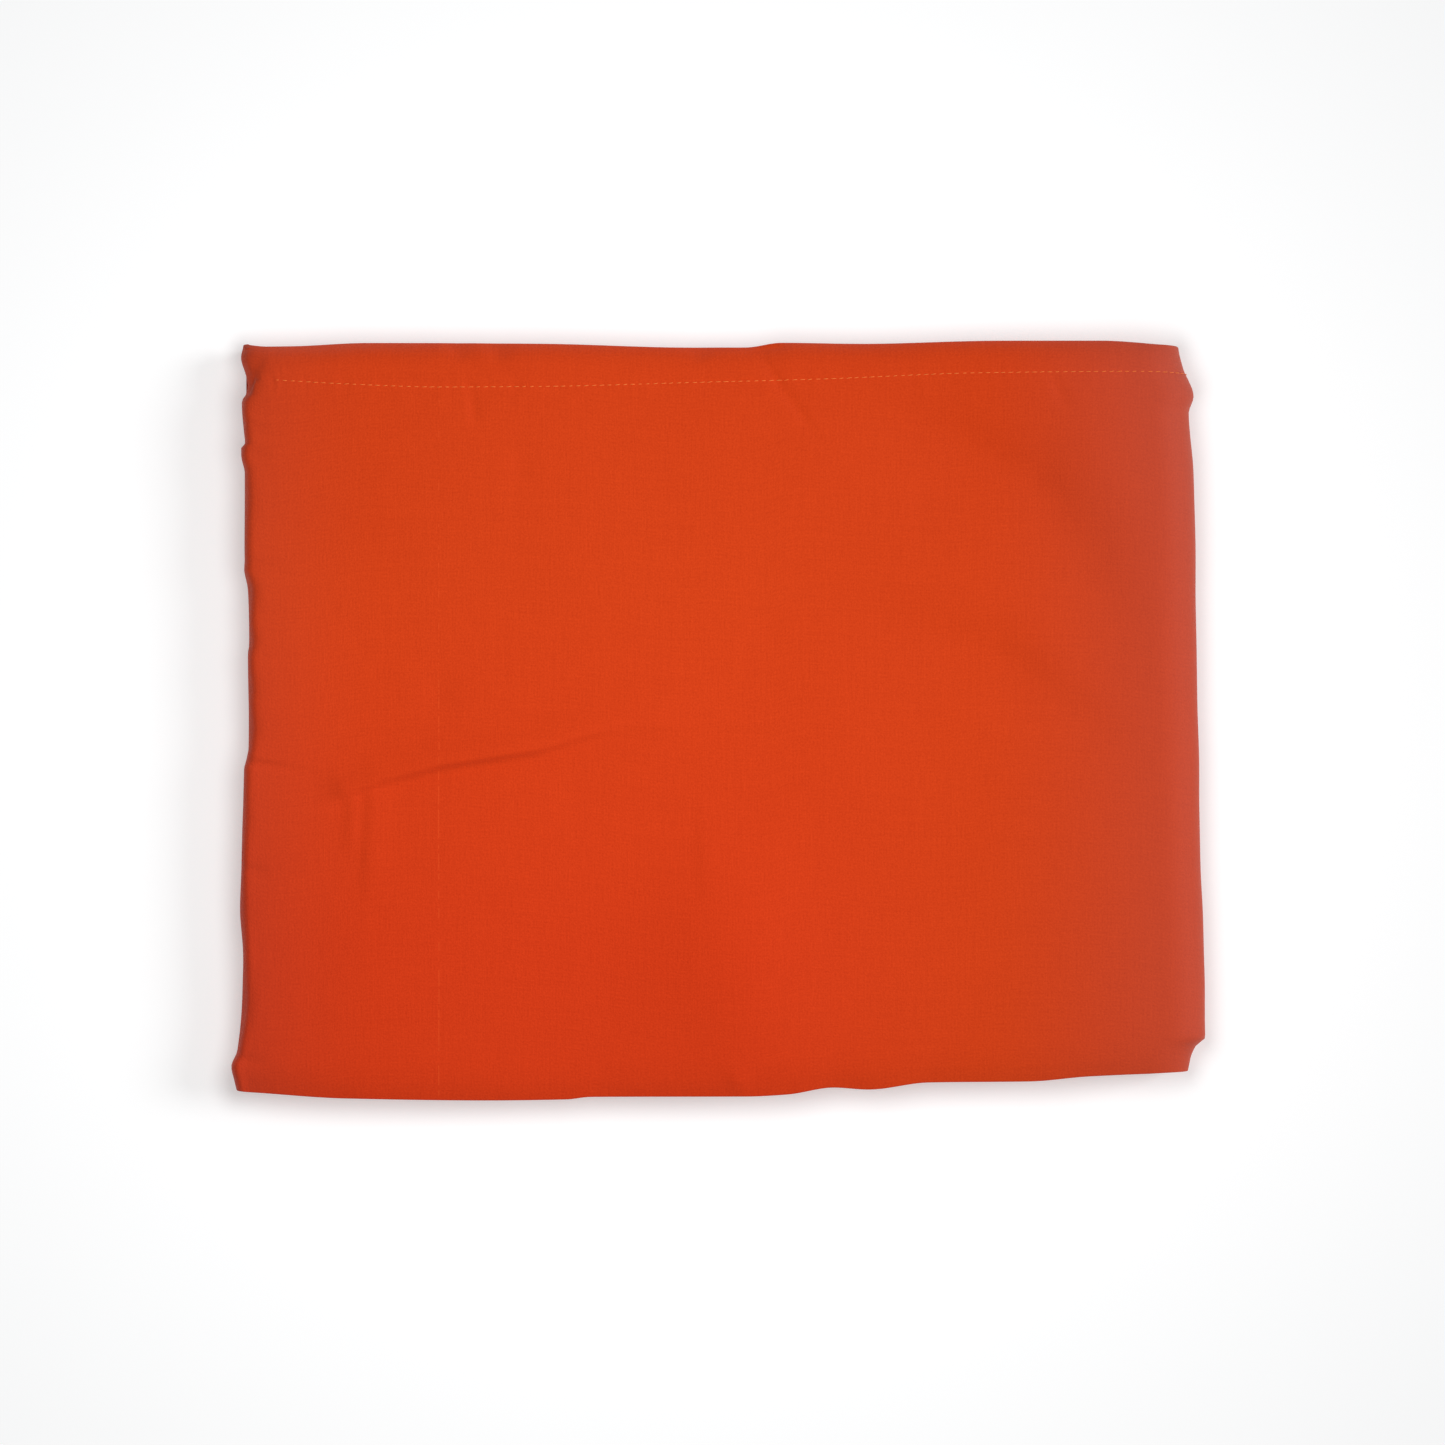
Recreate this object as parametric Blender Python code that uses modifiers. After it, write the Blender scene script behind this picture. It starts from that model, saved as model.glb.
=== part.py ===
"""A buddhist monk robe of plain orange cotton, folded flat into a thick rectangle that lies on a table.

The robe is one wide cloth. It is folded along its length into a strip of six layers, and the strip is halved three
times, which makes a stack of eight leaves. What shows is one stretch of that cloth, with its sewn hem along the far
edge: it comes out of the stack round the fold on the left, crosses the top, turns round the thick fold on the right,
and runs back along the underside to a small fold on the left. The leaves between are one rounded solid with an edge
for each leaf, nested round the right fold.

Sizes here are in millimetres, and new_object turns them into metres. X runs across the stack, Y from its near edge
to its far, hemmed edge, and the underside lies on Z = 0.
"""
import math

import bpy

MM = 0.001

# The folded stack
STACK_WIDTH = 385.0
STACK_DEPTH = 300.0
STACK_HEIGHT = 25.0
LEAVES = 8

# The cloth
CLOTH_WALL = 1.0
HEM_THICKNESS = 2.2
SEAM_GAP = 0.3
NEAR_LOOP_RADIUS = 1.25
NEAR_LOOP_LEAN = math.radians(17.0)
RIGHT_FOLD_REACH = 16.0
RETURN_LENGTH = 2.5
LOWER_LEAF_INSET = 1.5

# The top sinks towards the folded edges: how far, and over what distance
NEAR_SINK = 2.2
NEAR_SINK_REACH = 15.0
FAR_SINK = 1.4
FAR_SINK_REACH = 20.0
LEFT_SINK = 0.8
LEFT_SINK_REACH = 22.0

# The inner leaves' clearance inside the outer cloth, and how far each leaf's edge rounds out
LAYER_CLEARANCE = HEM_THICKNESS + SEAM_GAP
LEAF_EDGE_ROUND = 1.2
LOOP_BACKSET = 3.5
LEFT_PUCKER_ROOM = 0.8
LEAST_SPINE_REACH = 1.0
STITCH_CLEARANCE = 1.0
CORE_TOP = 21.0
CAP_SHARE = 0.9

# How far the edge lies inside the plain rectangle
#     place along the edge, inset
LEFT_EDGE = (
    (148.4, 3.9),
    (143.7, 3.2),
    (135.4, 5.5),
    (130.6, 6.1),
    (125.9, 3.6),
    (113.0, 4.7),
    (104.5, 3.6),
    (97.4, 5.1),
    (51.6, 6.3),
    (-10.6, 6.7),
    (-19.6, 5.1),
    (-72.9, 3.6),
    (-92.7, 4.7),
    (-130.3, 2.2),
    (-136.6, 0.0),
    (-146.0, 2.0),
)
RIGHT_EDGE = (
    (148.4, 10.3),
    (140.1, 8.7),
    (128.3, 4.3),
    (121.6, 6.3),
    (99.0, 4.7),
    (8.1, 3.2),
    (-71.0, 1.6),
    (-125.1, 0.0),
    (-128.7, 3.9),
    (-134.2, 6.3),
    (-138.9, 7.1),
)
NEAR_EDGE = (
    (-190.5, 3.5),
    (-141.9, 0.8),
    (-86.6, 0.0),
    (-54.9, 0.4),
    (-45.1, 1.4),
    (16.2, 1.6),
    (32.0, 2.4),
    (49.8, 5.1),
    (63.6, 4.3),
    (87.4, 7.1),
    (126.9, 7.5),
    (150.6, 9.5),
    (185.4, 10.7),
)
FAR_EDGE = (
    (-188.6, 2.0),
    (-134.0, 0.8),
    (-62.9, 1.2),
    (-7.5, 2.7),
    (16.2, 2.7),
    (31.2, 0.8),
    (63.6, 1.2),
    (119.0, 0.0),
    (158.5, 0.0),
    (182.2, 1.2),
)
# The row of stitches along the hem, as an inset from the far side
STITCH_LINE = (
    (-188.0, 15.4),
    (-145.9, 17.4),
    (-110.3, 18.6),
    (-70.8, 18.4),
    (-7.5, 16.8),
    (43.9, 15.4),
    (107.1, 13.0),
    (182.2, 12.4),
)
# The left edge of the leaves below the top fold, without its puckers
LOWER_LEFT_EDGE = (
    (148.4, 5.6),
    (-10.6, 7.2),
    (-146.0, 4.6),
)

# Creases in the top: depth (below 0 for a ridge), half width, and the way each runs (x, y).
# CREASE_END_SHARE is what is left of the depth at a crease's two ends.
CREASE_END_SHARE = 0.35
CREASES = {
    "long crease": (1.7, 4.0, ((-146, -46), (-143, -28), (-110, -17), (-71, -11), (-37, -2), (-12, -1))),
    "ridge behind it": (-0.9, 7.0, ((-150, -30), (-134, -13), (-105, -6), (-70, 0), (-37, 8), (0, 9))),
    "hollow before it": (0.9, 12.0, ((-139, -57), (-124, -34), (-92, -28), (-60, -20))),
    "long hollow to the right": (0.9, 12.0, ((52, 130), (95, 117), (131, 97), (157, 56))),
    "right hollow": (0.8, 12.0, ((48, 48), (111, 32), (160, -10))),
    "near valley": (0.9, 9.0, ((-5, -43), (-2, -71), (4, -110), (6, -140))),
    "far short crease": (0.9, 5.0, ((18, 140), (26, 131), (41, 110))),
}

# The six leaves inside, from the lowest up: inset of the near edge, of the far edge, and of the left end
INNER_LEAVES = {
    "fifth leaf": (1.4, 1.8, 0.0),
    "eighth leaf": (0.5, 1.0, 2.6),
    "first leaf": (1.9, 2.4, 1.4),
    "second leaf": (0.9, 1.4, 0.0),
    "seventh leaf": (2.2, 2.7, 0.0),
    "sixth leaf": (1.1, 1.2, 0.0),
}

# The places of the mesh lines: across the top, and along the depth as the stitch line and near edge are joined
TOP_LINES = (
    -160, -142, -124, -105, -87, -71, -55, -45, -26, -8, 16, 31, 50, 64, 87, 107, 123, 140, 151, 160,
)
DEPTH_LINES = (
    131, 128, 125, 121, 113, 105, 98, 84, 68, 52, 36, 20, 8, 2, -3, -7, -11, -15, -19, -24, -29, -34, -40, -47, -56,
    -72, -92, -110, -121, -125, -128.7, -134, -136.6, -141,
)
RIGHT_FOLD_STEPS = 10
LEFT_FOLD_STEPS = 7
LOWER_FOLD_STEPS = 5
UNDERSIDE_LINES = 7
LOOP_STEPS = 5
HEM_LINES = (0.0, 0.35, 0.7)
HEM_ROUND_STEPS = 4

# The inner solid's lines along its four sides
CORE_NEAR_PLACES = (-174, -142, -87, -55, -45, 0, 32, 50, 87, 127, 151)
CORE_FAR_PLACES = (-174, -134, -63, -8, 16, 31, 90, 150)
CORE_LEFT_PLACES = (120, 70, 20, -30, -80, -120)
CORE_RIGHT_PLACES = (-100, 0, 100)
SPINE_SHARES = (0.0, 0.4, 0.75, 1.0)

CLOTH_ORANGE = (0.66, 0.052, 0.010, 1.0)
HEM_ORANGE = (0.64, 0.058, 0.014, 1.0)
INNER_ORANGE = (0.58, 0.042, 0.010, 1.0)
CLOTH_ROUGHNESS = 0.85
SHARP_ANGLE = math.radians(50.0)


def clear_scene():
    for item in list(bpy.data.objects):
        bpy.data.objects.remove(item, do_unlink=True)


def blend(start, end, share):
    return start + (end - start) * share


def read_curve(rows, place):
    """The value at a place on the smooth curve through a table's rows, level at its peaks and dips."""
    rows = sorted(rows)
    if place <= rows[0][0]:
        return rows[0][1]
    if place >= rows[-1][0]:
        return rows[-1][1]
    slopes = [(b[1] - a[1]) / (b[0] - a[0]) for a, b in zip(rows, rows[1:])]
    index = max(i for i in range(len(slopes)) if rows[i][0] <= place)

    def tangent(i):
        if i == 0 or i == len(slopes) or slopes[i - 1] * slopes[i] <= 0.0:
            return 0.0
        return 2.0 * slopes[i - 1] * slopes[i] / (slopes[i - 1] + slopes[i])

    span = rows[index + 1][0] - rows[index][0]
    share = (place - rows[index][0]) / span
    square = share * share
    cube = square * share
    return (
        rows[index][1] * (2.0 * cube - 3.0 * square + 1.0)
        + rows[index + 1][1] * (3.0 * square - 2.0 * cube)
        + tangent(index) * span * (cube - 2.0 * square + share)
        + tangent(index + 1) * span * (cube - square)
    )


def left_edge(y):
    return -STACK_WIDTH / 2 + read_curve(LEFT_EDGE, y)


def lower_left_edge(y):
    return -STACK_WIDTH / 2 + read_curve(LOWER_LEFT_EDGE, y) + LOWER_LEAF_INSET


def right_edge(y):
    return STACK_WIDTH / 2 - read_curve(RIGHT_EDGE, y)


def near_edge(x):
    return -STACK_DEPTH / 2 + read_curve(NEAR_EDGE, x)


def far_edge(x):
    return STACK_DEPTH / 2 - read_curve(FAR_EDGE, x)


def stitch_line(x):
    return STACK_DEPTH / 2 - read_curve(STITCH_LINE, x)


def sink(distance, depth, reach):
    """How far the top sinks at a distance from a folded edge."""
    share = min(max(distance / reach, 0.0), 1.0)
    return depth * (1.0 - share) ** 2


def path_distance(x, y, path):
    """The distance from a path, and how far along it the nearest place lies, from 0 to 1."""
    nearest = math.inf
    nearest_share = 0.0
    for number, (start, end) in enumerate(zip(path, path[1:])):
        run = (end[0] - start[0], end[1] - start[1])
        share = ((x - start[0]) * run[0] + (y - start[1]) * run[1]) / (run[0] ** 2 + run[1] ** 2)
        share = min(max(share, 0.0), 1.0)
        distance = math.hypot(x - start[0] - run[0] * share, y - start[1] - run[1] * share)
        if distance < nearest:
            nearest = distance
            nearest_share = (number + share) / (len(path) - 1)
    return nearest, nearest_share


def crease_depth(x, y):
    total = 0.0
    for depth, half_width, path in CREASES.values():
        distance, share = path_distance(x, y, path)
        fade = blend(CREASE_END_SHARE, 1.0, math.sin(math.pi * share))
        total += depth * fade * math.exp(-((distance / half_width) ** 2))
    return total


def top_height(x, y):
    """The height of the top sheet over the underside."""
    height = STACK_HEIGHT
    height -= sink(y - near_edge(x), NEAR_SINK, NEAR_SINK_REACH)
    height -= sink(far_edge(x) - y, FAR_SINK, FAR_SINK_REACH)
    height -= sink(x - left_edge(y), LEFT_SINK, LEFT_SINK_REACH)
    return height - crease_depth(x, y)


def left_height(y):
    """The stack's height beside the left fold."""
    return top_height(left_edge(y) + STACK_HEIGHT / 4, y)


def right_height(y):
    """The stack's height where the right fold begins."""
    return top_height(right_edge(y) - RIGHT_FOLD_REACH, y)


def wrap_point(stretch, share, y):
    """A point of the outer cloth in the section at y: x, z, the way out (x, z), and its share of underside."""
    height = left_height(y)
    fold = height / 4
    lower_fold = height / LEAVES
    fold_middle = left_edge(y) + fold
    lower_middle = lower_left_edge(y) + lower_fold
    right_middle = right_edge(y) - RIGHT_FOLD_REACH
    if stretch == "left return":
        return fold_middle + RETURN_LENGTH * (1.0 - share), height / 2, 0.0, -1.0, 0.5
    if stretch == "left fold":
        angle = math.pi * (1.5 - share)
        out_x, out_z = math.cos(angle), math.sin(angle)
        return fold_middle + fold * out_x, 0.75 * height + fold * out_z, out_x, out_z, 0.5 - 0.5 * share
    if stretch == "top":
        x = blend(fold_middle, right_middle, share)
        return x, top_height(x, y), 0.0, 1.0, 0.0
    if stretch == "right fold":
        angle = math.pi * (0.5 - share)
        half = right_height(y) / 2
        x = right_middle + RIGHT_FOLD_REACH * math.cos(angle)
        out_x, out_z = math.cos(angle) / RIGHT_FOLD_REACH, math.sin(angle) / half
        length = math.hypot(out_x, out_z)
        return x, half + half * math.sin(angle), out_x / length, out_z / length, share
    if stretch == "underside":
        return blend(right_middle, lower_middle, share), 0.0, 0.0, -1.0, 1.0
    if stretch == "lower left fold":
        angle = math.pi * (1.5 - share)
        out_x, out_z = math.cos(angle), math.sin(angle)
        return lower_middle + lower_fold * out_x, lower_fold + lower_fold * out_z, out_x, out_z, 1.0
    return lower_middle + RETURN_LENGTH * share, 2.0 * lower_fold, 0.0, 1.0, 1.0


def wrap_stations():
    """The mesh lines of the outer cloth, from the left fold's return to the lower fold's return."""
    stations = [("left return", 0.0)]
    stations += [("left fold", step / LEFT_FOLD_STEPS) for step in range(LEFT_FOLD_STEPS + 1)]
    first = left_edge(0.0) + STACK_HEIGHT / 4
    last = right_edge(0.0) - RIGHT_FOLD_REACH
    stations += [("top", (x - first) / (last - first)) for x in TOP_LINES]
    stations += [("right fold", step / RIGHT_FOLD_STEPS) for step in range(RIGHT_FOLD_STEPS + 1)]
    stations += [("underside", step / UNDERSIDE_LINES) for step in range(1, UNDERSIDE_LINES)]
    stations += [("lower left fold", step / LOWER_FOLD_STEPS) for step in range(LOWER_FOLD_STEPS + 1)]
    stations.append(("lower left return", 1.0))
    return stations


def sheet_point(stretch, share, section_y, depth, y):
    """A point of the outer cloth in the section at section_y, set in by a depth and moved along to y."""
    x, z, out_x, out_z, _ = wrap_point(stretch, share, section_y)
    return x - out_x * depth, y, z - out_z * depth


def new_object(name, points, faces, colour, collection):
    mesh = bpy.data.meshes.new(name)
    mesh.from_pydata([(x * MM, y * MM, z * MM) for x, y, z in points], [], faces)
    mesh.validate()
    mesh.shade_smooth()
    mesh.set_sharp_from_angle(angle=SHARP_ANGLE)
    item = bpy.data.objects.new(name, mesh)
    collection.objects.link(item)
    material = bpy.data.materials.new(name)
    material.use_nodes = True
    shader = material.node_tree.nodes["Principled BSDF"]
    shader.inputs["Base Color"].default_value = colour
    shader.inputs["Roughness"].default_value = CLOTH_ROUGHNESS
    shader.inputs["Metallic"].default_value = 0.0
    mesh.materials.append(material)
    return item


def strip_faces(lines, points_a_line):
    """The faces of a sheet of lines that lie side by side."""
    faces = []
    for line in range(lines - 1):
        for step in range(points_a_line - 1):
            here = line * points_a_line + step
            there = here + points_a_line
            faces.append((here, here + 1, there + 1, there))
    return faces


def outer_cloth(collection):
    """The sheet from the stitches to the near edge, turned under in a loop along that edge."""
    points = []
    stations = wrap_stations()
    for stretch, share in stations:
        x, _, _, _, under = wrap_point(stretch, share, 0.0)
        far = stitch_line(x) - LOWER_LEAF_INSET * under
        near = near_edge(x) + LOWER_LEAF_INSET * under
        lean = NEAR_LOOP_LEAN * max(1.0 - 2.0 * under, 0.0)
        loop_start = near + NEAR_LOOP_RADIUS * (1.0 - math.sin(lean))
        first = stitch_line(-STACK_WIDTH / 2)
        last = near_edge(-STACK_WIDTH / 2) + NEAR_LOOP_RADIUS
        shares = [0.0] + [(first - y) / (first - last) for y in DEPTH_LINES]
        for depth_share in shares:
            y = blend(far, loop_start, depth_share)
            points.append(sheet_point(stretch, share, y, 0.0, y))
        for step in range(1, LOOP_STEPS + 1):
            angle = blend(lean, math.pi, step / LOOP_STEPS)
            y = near + NEAR_LOOP_RADIUS * (1.0 - math.sin(angle))
            depth = NEAR_LOOP_RADIUS * (math.cos(lean) - math.cos(angle))
            points.append(sheet_point(stretch, share, loop_start, depth, y))
    item = new_object(
        "robe_panel", points, strip_faces(len(stations), len(points) // len(stations)), CLOTH_ORANGE, collection
    )
    wall = item.modifiers.new("cloth wall", "SOLIDIFY")
    wall.thickness = CLOTH_WALL * MM
    wall.offset = -1.0
    return item


def hem_band(collection):
    """The doubled edge of the cloth beyond the stitches, with a rounded far edge."""
    points = []
    stations = wrap_stations()
    radius = HEM_THICKNESS / 2
    for stretch, share in stations:
        x, _, _, _, under = wrap_point(stretch, share, 0.0)
        start = stitch_line(x) - LOWER_LEAF_INSET * under + SEAM_GAP
        end = far_edge(x) - LOWER_LEAF_INSET * under - radius
        flat = [blend(start, end, line) for line in HEM_LINES]
        profile = [(y, 0.0) for y in flat]
        for step in range(HEM_ROUND_STEPS + 1):
            angle = math.pi * step / HEM_ROUND_STEPS
            profile.append((end + radius * math.sin(angle), radius * (1.0 - math.cos(angle))))
        profile += [(y, HEM_THICKNESS) for y in reversed(flat)]
        points += [sheet_point(stretch, share, min(y, end), depth, y) for y, depth in profile]
    ring = len(points) // len(stations)
    faces = []
    for line in range(len(stations) - 1):
        for step in range(ring):
            here = line * ring + step
            after = line * ring + (step + 1) % ring
            faces.append((here, here + ring, after + ring, after))
    faces.append(tuple(range(ring)))
    faces.append(tuple(reversed(range(len(points) - ring, len(points)))))
    return new_object("hem_band", points, faces, HEM_ORANGE, collection)


def core_levels():
    """The inner solid's levels from below: each a share of the height, and a distance added to it."""
    half = LEAVES // 2
    levels = [(0.0, CLOTH_WALL + SEAM_GAP), (0.0, LAYER_CLEARANCE)]
    for leaf in range(1, LEAVES - 1):
        if leaf == half:
            levels += [(0.5, -SEAM_GAP), ((leaf + 0.25) / LEAVES, 0.0), ((leaf + 0.55) / LEAVES, 0.0)]
            levels.append((0.5, LAYER_CLEARANCE))
            continue
        first = (leaf / LEAVES, SEAM_GAP if leaf == 2 else 0.0)
        levels += [first] + [((leaf + share) / LEAVES, 0.0) for share in (0.25, 0.5, 0.75)]
    levels += [(1.0 - 1.0 / LEAVES, 0.0), (1.0, -LAYER_CLEARANCE), (1.0, -CLOTH_WALL - SEAM_GAP)]
    return levels


def held_in(x, y):
    """The nearest place on the flat of the top, where the stack's height is read."""
    return min(max(x, left_edge(y) + STACK_HEIGHT / 4), right_edge(y) - RIGHT_FOLD_REACH)


def level_share(level, x, y):
    """How high a level lies there, as a share of the stack's height."""
    return level[0] + level[1] / top_height(held_in(x, y), y)


def core_left(level, y):
    """The inner solid's left end: inside the top fold, at the free ends, or inside the lower fold."""
    height = left_height(y)
    z = level[0] * height + level[1]
    edge = -STACK_WIDTH / 2 + read_curve(LOWER_LEFT_EDGE, y)
    if z <= height / 4 + SEAM_GAP:
        return lower_left_edge(y) + height / LEAVES + RETURN_LENGTH + SEAM_GAP
    if z < height / 2 - SEAM_GAP:
        leaf = "eighth leaf" if z < height * 3 / LEAVES else "first leaf"
        return edge + INNER_LEAVES[leaf][2]
    edge += LEFT_PUCKER_ROOM
    fold = height / 4
    inner_fold = fold - LAYER_CLEARANCE - SEAM_GAP
    up = z - 0.75 * height
    if abs(up) >= inner_fold:
        return edge + fold + RETURN_LENGTH + SEAM_GAP
    return edge + fold - math.sqrt(inner_fold**2 - up**2)


def core_right(level, y):
    """The inner solid's reach into the right fold, one leaf inside the outer cloth."""
    middle = right_edge(y) - RIGHT_FOLD_REACH
    share = level[0] + level[1] / right_height(y)
    room = 0.5 - 1.0 / LEAVES
    reach = RIGHT_FOLD_REACH * (1.0 - 2.0 / LEAVES)
    return middle + max(reach * math.sqrt(max(1.0 - ((share - 0.5) / room) ** 2, 0.0)), LEAST_SPINE_REACH)


def leaf_edge(level, x, y, side):
    """How far the inner solid's edge lies inside the stack's edge: a round for each leaf, nested at the right."""
    share = level_share(level, x, y)
    middle = right_edge(y) - RIGHT_FOLD_REACH
    beyond = max(x - middle, 0.0) / RIGHT_FOLD_REACH
    depth = LEAVES / 2 * (1.0 - math.hypot(beyond, 2.0 * share - 1.0))
    if depth < 1.0 - 1e-6:
        return None
    number = min(int(depth + 1e-6), LEAVES // 2 - 1)
    within = min(max(depth - number, 0.0), 1.0)
    leaves = list(INNER_LEAVES.values())
    lower = leaves[number - 1][side]
    upper = leaves[LEAVES - 2 - number][side]
    inset = blend(lower, upper, min(max((share - 0.5) * 4.0 + 0.5, 0.0), 1.0))
    roundness = math.sqrt(max(1.0 - (2.0 * within - 1.0) ** 2, 0.0))
    return inset + LEAF_EDGE_ROUND * (1.0 - roundness)


def core_near(level, x):
    edge = near_edge(x)
    inset = leaf_edge(level, x, edge, 0)
    return edge + (LOOP_BACKSET if inset is None else inset)


def core_far(level, x):
    edge = far_edge(x)
    inset = leaf_edge(level, x, edge, 1)
    if inset is None:
        return stitch_line(x) - LOWER_LEAF_INSET - STITCH_CLEARANCE
    return edge - inset


def core_columns(level, places, y):
    """The places across the stack of the near or far side's lines, from left to right."""
    left = core_left(level, y)
    right = core_right(level, y)
    middle = right_edge(y) - RIGHT_FOLD_REACH
    return [left] + list(places) + [blend(middle, right, share) for share in SPINE_SHARES]


def core_ring(level):
    """One level of the inner solid, from its near left corner round to the right."""
    near_columns = core_columns(level, CORE_NEAR_PLACES, -STACK_DEPTH / 2)
    far_columns = core_columns(level, CORE_FAR_PLACES, STACK_DEPTH / 2)
    ring = [(x, core_near(level, x)) for x in near_columns]
    ring += [(core_right(level, y), y) for y in CORE_RIGHT_PLACES]
    ring += [(x, core_far(level, x)) for x in reversed(far_columns)]
    ring += [(core_left(level, y), y) for y in CORE_LEFT_PLACES]
    points = []
    for x, y in ring:
        points.append((x, y, level[0] * top_height(held_in(x, y), y) + level[1]))
    return points


def folded_layers(collection):
    """The leaves between the top and the underside, as one solid that is layered at its edges."""
    rings = [core_ring(level) for level in core_levels()]
    rings.append([(x * CAP_SHARE, y * CAP_SHARE, CORE_TOP) for x, y, _ in rings[-1]])
    ring = len(rings[0])
    points = [point for level in rings for point in level]
    faces = []
    for line in range(len(rings) - 1):
        for step in range(ring):
            here = line * ring + step
            after = line * ring + (step + 1) % ring
            faces.append((here, after, after + ring, here + ring))
    faces.append(tuple(reversed(range(ring))))
    faces.append(tuple(range(len(points) - ring, len(points))))
    return new_object("folded_layers", points, faces, INNER_ORANGE, collection)


def main():
    clear_scene()
    collection = bpy.data.collections.new("buddhist_monk_robe")
    bpy.context.scene.collection.children.link(collection)
    outer_cloth(collection)
    hem_band(collection)
    folded_layers(collection)


main()
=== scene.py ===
"""The folded monk robe, dressed: one sheet of orange cotton round a stack of folded layers, with its sewn hem.

Sizes are in millimetres, and new_piece turns them into metres. X runs across the stack, Y from its near edge to
its far, hemmed edge, and the underside lies on Z = 0. A stretch of cloth is worked out as a grid of points: one
line for each station round the stack, and one point on it for each row along the stack's depth.
"""
import math

import bpy
import numpy as np
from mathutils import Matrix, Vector


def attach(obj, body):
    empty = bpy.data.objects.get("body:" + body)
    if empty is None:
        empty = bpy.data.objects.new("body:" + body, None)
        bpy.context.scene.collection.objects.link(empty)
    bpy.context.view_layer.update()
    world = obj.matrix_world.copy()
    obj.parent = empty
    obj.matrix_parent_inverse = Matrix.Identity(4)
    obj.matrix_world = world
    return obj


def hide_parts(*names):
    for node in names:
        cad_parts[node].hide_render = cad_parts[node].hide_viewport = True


MM = 0.001

# The folded stack, in the same sizes as its solids
STACK_WIDTH = 385.0
STACK_DEPTH = 300.0
STACK_HEIGHT = 25.0
LEAVES = 8
RIGHT_FOLD_REACH = 16.0
LOWER_LEAF_INSET = 1.5
RETURN_LENGTH = 9.0
LEFT_FOLD_SQUARENESS = 0.56

# The cloth's own edges: a near loop of two layers, and a hem turned under and sewn
LOOP_RADIUS = 0.55
LOOP_LEAN = math.radians(17.0)
LOOP_RETURN = (2.0, 6.0)
HEM_RADIUS = 0.9
HEM_LEAN = math.radians(48.0)
HEM_PAST_SEAM = 1.5
HEM_RAISE = 0.15
HEM_RAISE_REACH = 1.6

# The seam draws the cloth in, and small gathers lie beside it
SEAM_DEPTH = 0.06
SEAM_WIDTH = 0.8
GATHER_DEPTH = 0.16
GATHER_REACH = 5.0
GATHER_STEP = 3.1
GATHER_LENGTHS = (7.0, 9.0)

# The side folds waver in and out: depth, wave length along the fold, and round it as a share of its turn
FOLD_WAVER = 0.35
FOLD_WAVER_LENGTHS = (21.0, 0.7)

# The top sinks towards the folded edges: how far, and over what distance
NEAR_SINK = (2.2, 15.0)
FAR_SINK = (1.4, 20.0)
LEFT_SINK = (0.8, 22.0)
NEAR_ROLL = (0.45, 3.5)
FAR_ROLL = (4.6, 12.0)
FAR_ROLL_WAVES = (0.35, 36.0)
NEAR_SLOPE = (1.1, 60.0)
NEAR_LEFT_SLOPE = (2.6, 54.0)
NEAR_LEFT_START = (-45.0, 12.0)

# How far each edge lies inside the plain rectangle: place along the edge, inset
LEFT_EDGE = (
    (148.4, 3.9),
    (143.7, 3.2),
    (135.4, 5.5),
    (130.6, 6.1),
    (125.9, 3.6),
    (113.0, 4.7),
    (109.6, 5.1),
    (107.6, 3.5),
    (104.5, 3.6),
    (97.4, 5.1),
    (62.5, 5.2),
    (60.0, 4.9),
    (51.6, 6.3),
    (30.0, 6.9),
    (26.0, 6.4),
    (-10.6, 6.9),
    (-14.0, 6.4),
    (-19.6, 5.1),
    (-72.9, 3.6),
    (-92.7, 4.7),
    (-130.3, 2.2),
    (-136.6, 0.0),
    (-146.0, 2.0),
)
RIGHT_EDGE = (
    (148.4, 10.3),
    (140.1, 8.7),
    (128.3, 4.3),
    (121.6, 6.3),
    (99.0, 4.7),
    (8.1, 3.2),
    (-71.0, 1.6),
    (-125.1, 0.0),
    (-128.7, 3.9),
    (-134.2, 6.3),
    (-138.9, 7.1),
)
NEAR_EDGE = (
    (-190.5, 3.5),
    (-141.9, 0.8),
    (-86.6, 0.0),
    (-54.9, 0.4),
    (-45.1, 1.4),
    (16.2, 1.6),
    (32.0, 2.4),
    (49.8, 5.1),
    (63.6, 4.3),
    (87.4, 7.1),
    (126.9, 7.5),
    (150.6, 9.5),
    (185.4, 10.7),
)
FAR_EDGE = (
    (-186.5, 0.7),
    (-180.0, 1.6),
    (-174.0, 2.2),
    (-164.0, 2.1),
    (-134.0, 0.8),
    (-62.9, 1.2),
    (-7.5, 2.7),
    (16.2, 2.7),
    (31.2, 0.8),
    (63.6, 1.2),
    (119.0, 0.0),
    (158.5, 0.0),
    (182.2, 1.2),
)
STITCH_LINE = (
    (-188.0, 15.4),
    (-145.9, 17.4),
    (-110.3, 18.6),
    (-70.8, 18.4),
    (-7.5, 16.8),
    (43.9, 15.4),
    (107.1, 13.0),
    (182.2, 12.4),
)
LOWER_LEFT_EDGE = (
    (148.4, 5.6),
    (-10.6, 7.2),
    (-72.9, 5.2),
    (-130.3, 3.9),
    (-146.0, 4.6),
)

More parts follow.
